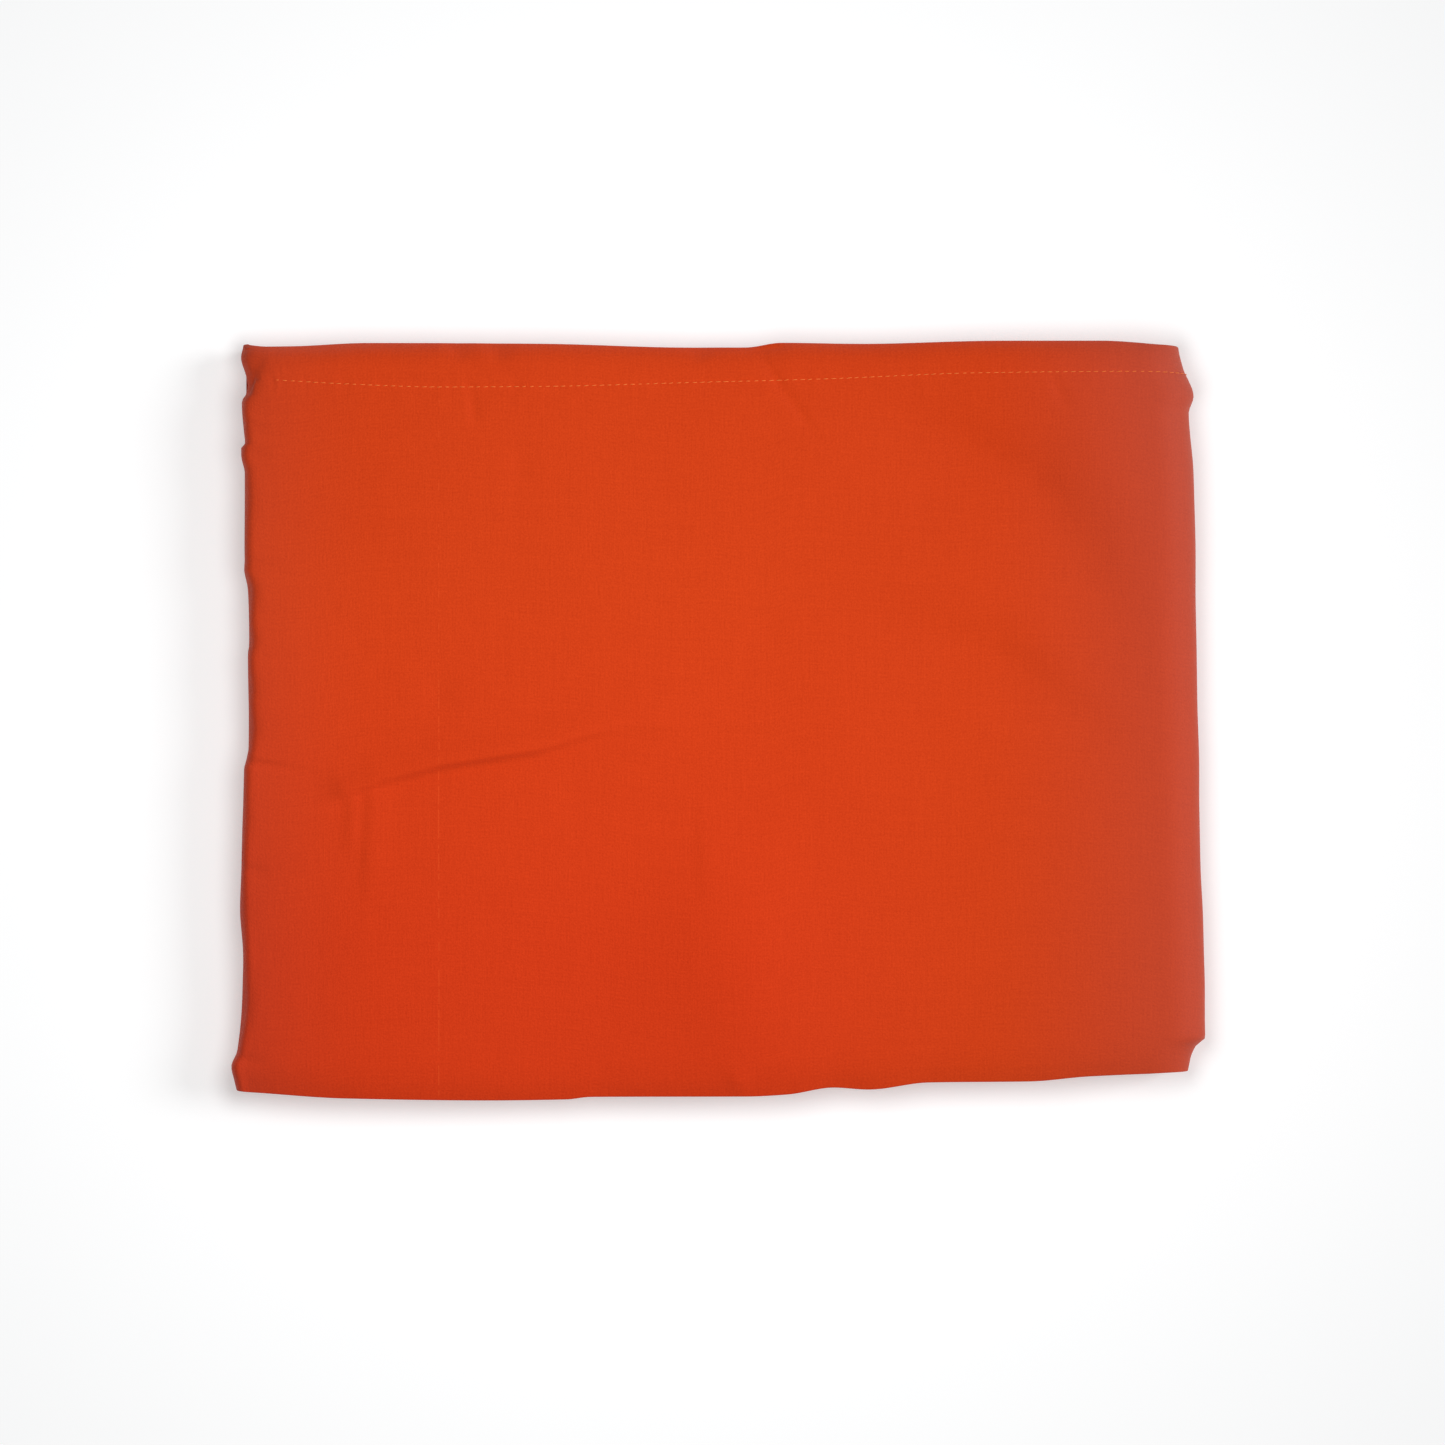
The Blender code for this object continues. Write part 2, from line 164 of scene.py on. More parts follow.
# Creases and swells of the top: depth (below 0 for a swell), width to the right and to the left of the way it
# runs, how much of its depth it has at its start and at its end, and the way it runs (x, y)
CREASES = {
    "long crease's crest": (
        -2.4, 2.3, 8.0, 0.6, 0.0,
        ((-146, -28), (-134, -23), (-110, -17), (-90, -14), (-71, -11), (-55, -6), (-37, -2), (-8, -1)),
    ),
    "long crease's foot": (0.5, 8.0, 2.0, 0.8, 0.0, ((-148, -31), (-124, -25), (-100, -19), (-76, -14))),
    "crease dying away": (-0.3, 2.4, 9.0, 0.2, 0.0, ((-26, -1), (16, -2), (40, -6))),
    "crease's first leg": (-0.5, 2.4, 4.0, 1.0, 0.0, ((-144.5, -33), (-145, -42), (-145.5, -56))),
    "crease's second leg": (-0.6, 2.4, 8.0, 1.0, 0.0, ((-137, -32), (-137.5, -46), (-138, -60), (-138, -76))),
    "upper right hollow": (
        3.1, 30.0, 16.0, 0.2, 0.2,
        ((38, 124), (84, 110), (120, 92), (142, 62), (154, 34)),
    ),
    "upper right fold": (0.5, 9.0, 6.0, 0.1, 0.1, ((50, 127), (94, 114), (129, 94), (150, 70))),
    "upper right swell": (-1.6, 18.0, 30.0, 0.4, 0.3, ((96, 150), (140, 125), (166, 84), (172, 40))),
    "middle right hollow": (2.3, 22.0, 10.0, 0.1, 0.2, ((45, 43), (108, 27), (157, -13))),
    "right crease": (-0.4, 2.0, 7.0, 0.1, 0.1, ((95, -12), (130, -10), (166, -11))),
    "near swell": (-3.6, 31.0, 36.0, 0.1, 0.5, ((4, -38), (7, -80), (12, -112), (18, -150))),
    "near crease": (-0.35, 2.2, 8.0, 0.4, 0.1, ((-7, -38), (-6, -52), (-5, -74))),
    "near edge's crease": (-0.6, 2.0, 5.0, 0.2, 0.5, ((3, -138), (8, -146), (16, -152))),
    "middle swell": (-0.9, 26.0, 26.0, 0.1, 0.1, ((-60, -30), (-25, 0), (-22, 25))),
    "right swell": (-0.8, 26.0, 26.0, 0.1, 0.1, ((36, 30), (50, -10), (50, -40))),
    "far short crease": (0.6, 2.2, 1.5, 0.5, 0.1, ((17, 144), (25, 131), (32, 122), (41, 109))),
    "far left short crease": (0.5, 2.2, 1.6, 0.1, 0.4, ((-96, 115), (-98, 131))),
    "far right short crease": (0.6, 1.8, 3.0, 0.4, 0.1, ((132, 134), (134, 128), (139, 122))),
    "soft dent": (0.5, 6.0, 6.0, 0.2, 0.2, ((-111, 21), (-111, 2))),
    "second soft dent": (0.4, 5.0, 5.0, 0.2, 0.2, ((-78, 108), (-79, 90))),
    "third soft dent": (0.3, 7.0, 7.0, 0.2, 0.2, ((19, 45), (20, 22))),
    "hem dent": (0.8, 3.5, 5.0, 1.0, 0.1, ((-105, 151), (-101, 141))),
    "second hem dent": (0.8, 4.0, 5.0, 1.0, 0.1, ((-89, 150), (-85, 141))),
    "third hem dent": (0.8, 4.0, 6.0, 1.0, 0.1, ((-10, 150), (-6, 141))),
    "corner pinch": (1.7, 1.0, 6.0, 0.9, 0.2, ((-190, 128), (-186.5, 131.2), (-183.8, 135), (-181.5, 139.5))),
    "corner's slope": (4.2, 10.0, 9.5, 1.0, 0.4, ((-191, 154), (-190.5, 143), (-190, 133))),
}
CREASE_FADE_BEND = 1.3
# Short puckers that run in from the left fold: place along the edge, length, depth, half width
LEFT_PUCKERS = (
    (117.0, 12.0, 0.9, 1.8),
    (106.9, 13.0, 1.1, 1.7),
    (62.0, 18.0, 1.2, 1.5),
    (-16.5, 30.0, 1.1, 1.7),
    (-58.0, 12.0, 0.7, 2.2),
    (-133.0, 14.0, 1.1, 2.2),
)
PUCKER_DRIFT = 0.15
# Where the left fold sags between its puckers: place along the edge, half its length, depth
LEFT_SAGS = (
    (129.0, 4.0, 1.0),
    (88.0, 9.0, 0.8),
    (51.0, 6.5, 1.9),
    (31.5, 4.5, 1.4),
    (13.0, 5.0, 1.4),
    (-3.0, 6.5, 1.6),
    (-40.0, 9.0, 0.7),
    (-76.0, 10.0, 1.2),
    (-114.0, 14.0, 2.5),
)
LEFT_SAG_REACH = 7.5
# Soft troughs in the lower half of the right fold: place along the edge, half width, depth, drift downwards
RIGHT_TROUGHS = (
    (104.0, 4.5, 0.8, -5.0),
    (61.0, 3.0, 1.1, 4.0),
    (17.0, 5.0, 0.7, -3.0),
    (-33.0, 3.2, 1.0, 5.0),
    (-92.0, 6.0, 0.8, -4.0),
)
# Soft troughs across the underside, the same way
UNDERSIDE_TROUGHS = (
    (88.0, 3.0, 0.5, 14.0),
    (24.0, 2.5, 0.4, -10.0),
    (-41.0, 3.5, 0.5, 9.0),
    (-107.0, 2.6, 0.4, -12.0),
)
# Soft unevenness of the top: height, wave length across, wave length along
TOP_RIPPLES = (
    (0.35, 85.0, 70.0),
    (0.13, 30.0, 38.0),
    (0.03, 9.0, 16.0),
)

# The grid of the outer sheet: lines across the top (from, to, count) and round the folds, and rows along the
# depth, given for the plain panel as (from, to, spacing)
TOP_LINES = (
    (0.0, 0.055, 24),
    (0.055, 1.0, 214),
)
LEFT_FOLD_LINES = 20
RIGHT_FOLD_LINES = 30
UNDERSIDE_LINES = 40
LOWER_FOLD_LINES = 14
PANEL_ROWS = (
    (131.0, 95.0, 1.6),
    (95.0, 4.0, 2.0),
    (4.0, -62.0, 0.85),
    (-62.0, -120.0, 2.0),
    (-120.0, -143.0, 1.5),
)
# The rows of the hem's return, of a turned edge, of the hem, and near the seam, and the room that the seam takes
HEM_RETURN_ROWS = 8
TURN_ROWS = 9
HEM_ROWS = 12
SEAM_ROWS = 13
SEAM_ZONE = 2.0
PANEL_START_SHARE = 0.012

# The folded layers: the leaves of the strip from the bottom up, and the beads of cloth at each leaf's edge
STRIP_LEVELS = (4, 5, 8, 1, 2, 7, 6, 3)
BEADS = (1.04, 0.0, -1.04)
BEAD_RADIUS = 0.49
BEAD_RUN = (6.5, 3.6, 1.8, 0.8)
BEAD_BAND = 2 * BEAD_RUN[0] + math.pi * BEAD_RADIUS
BEAD_TURN_COLUMNS = 7
BAND_GAP = 4.0
FLAT_STEPS = 46
TOP_ROOM = 0.25
SECTION_INSET = 3.0
LEVEL_INSET = 1.0

# How the leaves' edges wander: inset, then the height and wave length of each unevenness and of the lift
EDGE_INSET = 1.35
LEAST_INSET = 0.2
EDGE_WANDER = ((1.0, 260.0), (0.45, 45.0))
EDGE_LIFT = ((0.10, 60.0),)
LEFT_TURN_INSET = 0.9
LEFT_TURN_REACH = 3.0
FREE_END_INSET = (1.4, 2.6)
FREE_END_WANDER = ((1.3, 120.0), (0.5, 22.0))
FREE_END_STEPS = 50
LEAST_WANDER = -1.2
CORNER_ROOM = 3.0
CORNER_STEPS = 5
CORNER_BULGE = 0.29

# The sewing thread
SEWING_START = -174.0
STITCH_PITCH = 3.05
PITCH_CHANCE = 0.12
STITCH_LENGTH = 2.2
LENGTH_CHANCE = 0.15
SLANTS = (-0.05, 0.40)
STITCH_ARCH = 0.34
UNDERSIDE_PRESS = 0.8
THREAD_RADIUS = 0.15
THREAD_END = 0.55
THREAD_SIDES = 6
THREAD_RINGS = 7

# How deep the stitches lie: the first ones, and the others from and to, a little deeper along the row
FIRST_DEPTH = 0.30
FIRST_STITCHES = 6.0
STITCH_DEPTHS = (0.02, 0.22)
DEEPER_ALONG = (0.04, 60.0)

# One thicker warp thread, broken into short lengths, more of them towards the near edge: its place across the
# top, its width, the noise that breaks it, the noise's threshold, and by how much that falls past which place
LINE_PLACE = -110.5
LINE_WIDTH = 0.24
LINE_PIECES = (0.5, 0.004, 1.0)
LINE_THRESHOLD = 0.60
LINE_DENSER = 0.13
LINE_DENSER_FROM = 0.16

# The cloth's threads and dye as streaks of noise: size across and along in metres, and detail
GRAIN = (0.0008, 0.0008, 2.0)
WARP = (0.0006, 0.009, 2.0)
WEFT = (0.009, 0.0005, 2.0)
LONG_WARP = (0.0012, 0.060, 1.0)
LONG_WEFT = (0.050, 0.0012, 1.0)
MOTTLE = (0.060, 0.085, 3.0)
WARP_SHARE = 0.55
WEFT_SHARE = 0.45
THREADS_SHARE = 0.30
GRAIN_SHARE = 0.44
LONG_SHARE = 0.08
MOTTLE_SHARE = 0.10
TONES = (0.34, 0.66)
THREAD_BUMP = 0.42
THREAD_HEIGHT = 0.00025

# The cloths: dark and light threads, the thicker warp thread, sheen, and how much of the painted sheen and
# painted redder cast they take
OUTER_COTTON = (
    (0.565, 0.040, 0.0046, 1.0),
    (0.705, 0.058, 0.0076, 1.0),
    (0.73, 0.070, 0.012, 1.0),
    0.14,
    1.0,
)
INNER_COTTON = (
    (0.55, 0.038, 0.0045, 1.0),
    (0.64, 0.049, 0.0062, 1.0),
    (0.64, 0.049, 0.0062, 1.0),
    0.10,
    0.0,
)
COTTON_ROUGHNESS = 0.62
COTTON_SPECULAR = 0.12
SHEEN_ROUGHNESS = 0.45
SHEEN_TINT = (1.0, 0.62, 0.50, 1.0)
SEWING_COLOURS = ((0.86, 0.17, 0.035, 1.0), (1.0, 0.27, 0.065, 1.0))

# Painted sheen: a paler, duller haze of light painted into the cloth's colour towards the right fold, the left
# fold and the hem: from, to on the unfolded cloth
SHEEN_TO_RIGHT = (100.0, 205.0)
SHEEN_TO_LEFT = (-130.0, -195.0)
SHEEN_TO_HEM = (190.0, 10.0)
PAINTED_SHEEN_BEND = 1.8
RIGHT_PAINTED_SHEEN = 0.28
HEM_PAINTED_SHEEN = 0.22
LEFT_PAINTED_SHEEN = 0.09
PAINTED_SHEEN_COLOUR = (0.31, 0.13, 0.11, 1.0)

# A painted redder, darker cast of the light towards the near edge and the left: from, to along the unfolded
# cloth and across it, and what the colour is multiplied by
REDDER_CAST_ALONG = (120.0, 265.0)
REDDER_CAST_ACROSS = (115.0, 15.0)
PAINTED_REDDER_CAST = (1.0, 0.82, 0.95, 1.0)

# The floor and the lights, in metres
FLOOR_REACH = 20.0
FLOOR_LEVEL = -0.0003
FLOOR_COLOUR = (0.62, 0.62, 0.62, 1.0)
FLOOR_GLOW = 0.48
WHITE = (1.0, 1.0, 1.0)
CEILING_PLACE = (-0.015, 0.01, 0.55)
CEILING_SIZE = 0.3
CEILING_STRENGTH = 1.9
WINDOW_PLACE = (0.91, 0.14, 0.60)
WINDOW_COLOUR = (0.96, 0.98, 1.0)
WINDOW_STRENGTH = 1.6
WINDOW_ANGLE = math.radians(24.0)
ROOM_STRENGTH = 0.18

# The camera
CAMERA_DISTANCE = 3.5
CAMERA_ELEVATION = math.radians(89.0)
PICTURE_PIXELS = 1445
PIXEL_SIZE = 0.3953
PICTURE_CENTRE = (719.0, 720.5)
SENSOR_WIDTH = 36.0
TARGET_HEIGHT = 0.6

# The seeds of the unevenness
SEED = 7
GATHER_SEED = 11
FOLD_WAVER_SEED = 12
FAR_ROLL_SEED = 13
BEAD_SEED = 40
FREE_END_SEEDS = (70, 90)
LATTICE_SIZE = 64
LATTICE_START = (31.7, 17.3)


def blend(start, end, share):
    return start + (end - start) * share


def curve_through(rows):
    """A smooth curve through a table's rows (place, value), level at its peaks and dips, as a function."""
    places, values = np.array(sorted(rows), dtype=float).T
    slopes = np.diff(values) / np.diff(places)
    tangents = np.zeros(len(places))
    for i in range(1, len(slopes)):
        if slopes[i - 1] * slopes[i] > 0.0:
            tangents[i] = 2.0 * slopes[i - 1] * slopes[i] / (slopes[i - 1] + slopes[i])

    def read(place):
        place = np.clip(place, places[0], places[-1])
        i = np.clip(np.searchsorted(places, place, side="right") - 1, 0, len(slopes) - 1)
        span = places[i + 1] - places[i]
        share = (place - places[i]) / span
        square = share * share
        cube = square * share
        return (
            values[i] * (2.0 * cube - 3.0 * square + 1.0)
            + values[i + 1] * (3.0 * square - 2.0 * cube)
            + tangents[i] * span * (cube - 2.0 * square + share)
            + tangents[i + 1] * span * (cube - square)
        )

    return read


LEFT_CURVE = curve_through(LEFT_EDGE)
RIGHT_CURVE = curve_through(RIGHT_EDGE)
NEAR_CURVE = curve_through(NEAR_EDGE)
FAR_CURVE = curve_through(FAR_EDGE)
STITCH_CURVE = curve_through(STITCH_LINE)
LOWER_LEFT_CURVE = curve_through(LOWER_LEFT_EDGE)


def left_edge(y):
    return -STACK_WIDTH / 2 + LEFT_CURVE(y)


def lower_left_edge(y):
    return -STACK_WIDTH / 2 + LOWER_LEFT_CURVE(y) + LOWER_LEAF_INSET


def right_edge(y):
    return STACK_WIDTH / 2 - RIGHT_CURVE(y)


def near_edge(x):
    return -STACK_DEPTH / 2 + NEAR_CURVE(x)


def far_edge(x):
    return STACK_DEPTH / 2 - FAR_CURVE(x)


def stitch_line(x):
    return STACK_DEPTH / 2 - STITCH_CURVE(x)


def bell(ratio):
    return np.exp(-(ratio ** 2))


def ripple(x, y, across, along, seed):
    """Smooth unevenness from -1 to 1, with its own wave length across and along."""
    size = LATTICE_SIZE
    lattice = np.random.default_rng(SEED + seed).uniform(-1.0, 1.0, (size, size))
    u = np.asarray(x, dtype=float) / across + LATTICE_START[0]
    v = np.asarray(y, dtype=float) / along + LATTICE_START[1]
    u, v = np.broadcast_arrays(u, v)
    i, j = np.floor(u).astype(int), np.floor(v).astype(int)
    a, b = u - i, v - j
    a, b = a * a * (3.0 - 2.0 * a), b * b * (3.0 - 2.0 * b)
    i, j, k, m = i % size, j % size, (i + 1) % size, (j + 1) % size
    return blend(blend(lattice[i, j], lattice[k, j], a), blend(lattice[i, m], lattice[k, m], a), b)


def wander(place, waves, seeds):
    """Unevenness along an edge, the sum of its waves (height, wave length)."""
    return sum(height * ripple(place, 0.0, length, 1.0, seed) for (height, length), seed in zip(waves, seeds))


def sink(distance, depth_and_reach, bend=2):
    """How far the top sinks at a distance from a folded edge. A higher bend keeps it nearer the edge."""
    depth, reach = depth_and_reach
    return depth * (1.0 - np.clip(distance / reach, 0.0, 1.0)) ** bend


def path_distance(x, y, path):
    """How far places lie aside of a path (above 0 on its left), along it (0 to 1), and past its ends."""
    nearest = np.full(np.broadcast(x, y).shape, np.inf)
    aside, along, past = np.zeros(nearest.shape), np.zeros(nearest.shape), np.zeros(nearest.shape)
    last = len(path) - 2
    for number, (start, end) in enumerate(zip(path, path[1:])):
        length = math.hypot(end[0] - start[0], end[1] - start[1])
        run_x, run_y = (end[0] - start[0]) / length, (end[1] - start[1]) / length
        ahead = (x - start[0]) * run_x + (y - start[1]) * run_y
        left = (y - start[1]) * run_x - (x - start[0]) * run_y
        over = np.maximum(-ahead, 0.0) + np.maximum(ahead - length, 0.0)
        distance = np.hypot(left, over)
        at_end = ((ahead < 0.0) & (number == 0)) | ((ahead > length) & (number == last))
        closer = distance < nearest
        nearest = np.where(closer, distance, nearest)
        aside = np.where(closer, np.where(at_end, left, np.copysign(distance, left)), aside)
        past = np.where(closer, np.where(at_end, over, 0.0), past)
        along = np.where(closer, (number + np.clip(ahead / length, 0.0, 1.0)) / (last + 1), along)
    return aside, along, past


def crease_depth(x, y):
    """How far the creases, and the left fold's puckers and sags, press the cloth in."""
    total = np.zeros(np.broadcast(x, y).shape)
    for depth, right_width, left_width, at_start, at_end, path in CREASES.values():
        aside, share, past = path_distance(x, y, path)
        width = np.where(aside > 0.0, left_width, right_width)
        end_width = 1.0 + 0.5 * (left_width + right_width)
        fade = np.sin(np.pi * share) ** CREASE_FADE_BEND
        fade = blend(np.where(share < 0.5, at_start, at_end), 1.0, fade)
        total += depth * fade * bell(aside / width) * bell(past / end_width)
    for place, length, depth, half_width in LEFT_PUCKERS:
        inward = x - left_edge(place)
        fade = np.clip(1.0 - inward / length, 0.0, 1.0)
        total += depth * fade * bell((y - place + PUCKER_DRIFT * inward) / half_width)
    for place, half_length, depth in LEFT_SAGS:
        total += sink(x - left_edge(y), (depth, LEFT_SAG_REACH)) * bell((y - place) / half_length)
    return total


def trough_depth(troughs, share, y):
    """The depth of a fold's soft troughs at a share of their length, deepest halfway."""
    total = np.zeros(np.shape(y))
    for place, half_width, depth, drift in troughs:
        total += depth * math.sin(math.pi * share) * bell((y - place - drift * share) / half_width)
    return total


def top_height(x, y):
    """The height of the top sheet over the underside."""
    from_near, from_far, from_left = y - near_edge(x), far_edge(x) - y, x - left_edge(y)
    uneven, length = FAR_ROLL_WAVES
    far_roll = (1.0 + uneven * ripple(x, 0.0, length, 1.0, FAR_ROLL_SEED)) * sink(from_far, FAR_ROLL, bend=3)
    start, softness = NEAR_LEFT_START
    on_near_left = 1.0 / (1.0 + np.exp((y - start) / softness))
    height = STACK_HEIGHT - sum(sink(from_near, fall) for fall in (NEAR_SINK, NEAR_ROLL, NEAR_SLOPE))
    height = height - sink(from_far, FAR_SINK) - far_roll
    height = height - sink(from_left, LEFT_SINK) - on_near_left * sink(from_left, NEAR_LEFT_SLOPE)
    for seed, (swell, across, along) in enumerate(TOP_RIPPLES):
        height = height + swell * ripple(x, y, across, along, seed)
    return height - crease_depth(x, y)


def left_height(y):
    return top_height(left_edge(y) + STACK_HEIGHT / 4, y)


def right_height(y):
    return top_height(right_edge(y) - RIGHT_FOLD_REACH, y)


def sheet_section(stretch, share, y):
    """The outer sheet at a share of a stretch, for each y: x, z, the way out (x, z), how far it is under."""
    height = left_height(y)
    fold, lower_fold = height / 4, height / LEAVES
    fold_middle = left_edge(y) + fold
    lower_middle = lower_left_edge(y) + lower_fold
    right_middle = right_edge(y) - RIGHT_FOLD_REACH
    flat = np.zeros(np.shape(y))
    if stretch == "left return":
        return fold_middle + RETURN_LENGTH * (1.0 - share), height / 2, flat, flat - 1.0, 0.5
    if stretch == "left fold":
        angle = math.pi * (1.5 - share)
        out_x, out_z = flat + math.cos(angle), flat + math.sin(angle)
        reach = np.abs(out_x) ** LEFT_FOLD_SQUARENESS
        return fold_middle - fold * reach, 0.75 * height + fold * out_z, out_x, out_z, 0.5 - 0.5 * share
    if stretch == "top":
        x = blend(fold_middle, right_middle, share)
        return x, top_height(x, y), flat, flat + 1.0, 0.0
    if stretch == "right fold":
        angle = math.pi * (0.5 - share)
        half = right_height(y) / 2
        out_x, out_z = math.cos(angle) / RIGHT_FOLD_REACH, math.sin(angle) / half
        length = np.hypot(out_x, out_z)
        x = right_middle + RIGHT_FOLD_REACH * math.cos(angle)
        return x, half * (1.0 + math.sin(angle)), out_x / length, out_z / length, share
    if stretch == "underside":
        return blend(right_middle, lower_middle, share), flat, flat, flat - 1.0, 1.0
    if stretch == "lower left fold":
        angle = math.pi * (1.5 - share)
        out_x, out_z = flat + math.cos(angle), flat + math.sin(angle)
        return lower_middle + lower_fold * out_x, lower_fold * (1.0 + out_z), out_x, out_z, 1.0
    return lower_middle + RETURN_LENGTH * share, 2.0 * lower_fold, flat, flat + 1.0, 1.0


def sheet_stations():
    """The lines round the stack, from the left fold's return to the lower fold's return."""
    stations = [("left return", share) for share in (0.0, 0.5)]
    stations += [("left fold", step / LEFT_FOLD_LINES) for step in range(LEFT_FOLD_LINES)]
    for start, end, count in TOP_LINES:
        stations += [("top", share) for share in np.linspace(start, end, count, endpoint=False)]
    stations += [("right fold", step / RIGHT_FOLD_LINES) for step in range(RIGHT_FOLD_LINES)]
    stations += [("underside", step / UNDERSIDE_LINES) for step in range(UNDERSIDE_LINES)]
    stations += [("lower left fold", step / LOWER_FOLD_LINES) for step in range(LOWER_FOLD_LINES)]
    stations += [("lower left return", share) for share in (0.0, 0.5, 1.0)]
    return stations


def panel_shares():
    """The rows of the plain panel, as shares of the way from the stitches to the near edge."""
    first = stitch_line(-STACK_WIDTH / 2)
    last = near_edge(-STACK_WIDTH / 2)
    places = []
    for start, end, spacing in PANEL_ROWS:
        places += list(np.linspace(start, end, int((start - end) / spacing), endpoint=False))
    return (first - np.array(places)) / (first - last)


def level_rows(places, depth=0.0):
    return [(y, y, depth) for y in places]


def turned_rows(edge, inward, radius, lean, angles):
    """The rows round a turned edge of the cloth."""
    start = edge + inward * radius * (1.0 - math.sin(lean))
    return [
        (edge + inward * radius * (1.0 - math.sin(angle)), start, radius * (math.cos(lean) - math.cos(angle)))
        for angle in angles
    ]


def sheet_rows(stretch, share, panel):
    """The rows of one line round the stack, the seam's y, and how far the line is under the stack.

    A row is its own y, the y at which the section is read, and its depth inside the outer face.
    """
    x, _, _, _, under = sheet_section(stretch, share, np.array([0.0]))
    x, inset = float(x[0]), LOWER_LEAF_INSET * under
    seam, far, near = float(stitch_line(x)) - inset, float(far_edge(x)) - inset, float(near_edge(x)) + inset
    on_top = max(1.0 - 2.0 * under, 0.0)
    hem_lean, loop_lean = HEM_LEAN * on_top, LOOP_LEAN * on_top
    hem_end = far - HEM_RADIUS * (1.0 - math.sin(hem_lean))
    return_depth = HEM_RADIUS * (1.0 + math.cos(hem_lean))
    loop_start = near + LOOP_RADIUS * (1.0 - math.sin(loop_lean))
    panel_start = seam - SEAM_ZONE
    hem_return = np.linspace(seam - HEM_PAST_SEAM, far - HEM_RADIUS, HEM_RETURN_ROWS, endpoint=False)
    rows = level_rows(hem_return, return_depth)
    rows += turned_rows(far, -1.0, HEM_RADIUS, hem_lean, np.linspace(math.pi, hem_lean, TURN_ROWS))
    rows += level_rows(np.linspace(hem_end, seam + SEAM_ZONE, HEM_ROWS)[1:])
    rows += level_rows(np.linspace(seam + SEAM_ZONE, panel_start, SEAM_ROWS)[1:])
    rows += level_rows(blend(panel_start, loop_start, panel[panel > PANEL_START_SHARE]))
    rows += turned_rows(near, 1.0, LOOP_RADIUS, loop_lean, np.linspace(loop_lean, math.pi, TURN_ROWS))
    rows += level_rows([near + LOOP_RADIUS + run for run in LOOP_RETURN], rows[-1][2])
    return np.array(rows), seam, under


def seam_depth(number, seam, under, y):
    """How far the seam and its gathers draw the cloth in, less what the hem's layers raise it."""
    on_hem = np.clip((y - seam) / HEM_RAISE_REACH, 0.0, 1.0)
    raised = HEM_RAISE * (1.0 - under) * on_hem * on_hem * (3.0 - 2.0 * on_hem)
    across, along = GATHER_LENGTHS
    gather = GATHER_DEPTH * ripple(GATHER_STEP * number, y, across, along, GATHER_SEED)
    gather = gather * np.exp(-np.abs(y - seam) / GATHER_REACH)
    return SEAM_DEPTH * bell((y - seam) / SEAM_WIDTH) + (gather - raised) * (1.0 - under)


def waver_depth(stretch, share, x, y, out_z):
    """How far the underside or a side fold lies inside its plain section."""
    if stretch == "underside":
        return trough_depth(UNDERSIDE_TROUGHS, share, y)
    if stretch not in ("right fold", "left fold"):
        return 0.0
    along, round_fold = FOLD_WAVER_LENGTHS
    waver = FOLD_WAVER * math.sin(math.pi * share) * ripple(y, share, along, round_fold, FOLD_WAVER_SEED)
    if stretch == "right fold":
        return waver + trough_depth(RIGHT_TROUGHS, max(2.0 * share - 1.0, 0.0), y)
    fold_top = left_edge(y) + STACK_HEIGHT / 4
    return waver + (crease_depth(x, y) - crease_depth(fold_top, y)) * np.maximum(out_z, 0.0)


def sheet_grid():
    """All points of the outer sheet, a line for each station, and the place of each on the unfolded cloth."""
    panel = panel_shares()
    lines = []
    for number, (stretch, share) in enumerate(sheet_stations()):
        rows, seam, under = sheet_rows(stretch, share, panel)
        y, section_y, depth = rows.T
        x, z, out_x, out_z, _ = sheet_section(stretch, share, section_y)
        depth = depth + seam_depth(number, seam, under, section_y)
        depth = depth + waver_depth(stretch, share, x, section_y, out_z)
        lines.append(np.stack([x - out_x * depth, y, z - out_z * depth], axis=1))
    grid = np.array(lines)
    row = grid.shape[1] // 2
    across = run_along(grid, 0)
    middle = int(np.argmin(np.abs(grid[:, row, 0]) - grid[:, row, 2]))
    return grid, across - across[middle] + grid[middle, :, 0], run_along(grid, 1)


def run_along(grid, axis):
    """How far each point of a grid lies from its first line, measured along the cloth."""
    steps = np.linalg.norm(np.diff(grid, axis=axis), axis=2)
    return np.cumsum(np.insert(steps, 0, 0.0, axis=axis), axis=axis)


def new_piece(name, points, faces, material):
    mesh = bpy.data.meshes.new(name)
    mesh.from_pydata(np.asarray(points) * MM, [], faces)
    mesh.shade_smooth()
    mesh.materials.append(material)
    piece = bpy.data.objects.new(name, mesh)
    bpy.context.scene.collection.objects.link(piece)
    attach(piece, "root")
    return piece


def grid_faces(lines, points_a_line):
    """The faces of a sheet of lines that lie side by side."""
    line, step = np.meshgrid(np.arange(lines - 1), np.arange(points_a_line - 1), indexing="ij")
    here = (line * points_a_line + step).ravel()
    there = here + points_a_line
    return np.stack([here, here + 1, there + 1, there], axis=1)


def lay_uv(piece, name, u, v):
    """A map of the piece's points, given one place for each point."""
    layer = piece.data.uv_layers.new(name=name)
    corners = np.empty(len(piece.data.loops), dtype=np.int32)
    piece.data.loops.foreach_get("vertex_index", corners)
    layer.data.foreach_set("uv", np.stack([u, v], axis=1)[corners].ravel())


def within_margin(share, margin):
    return margin + (1.0 - 2.0 * margin) * share


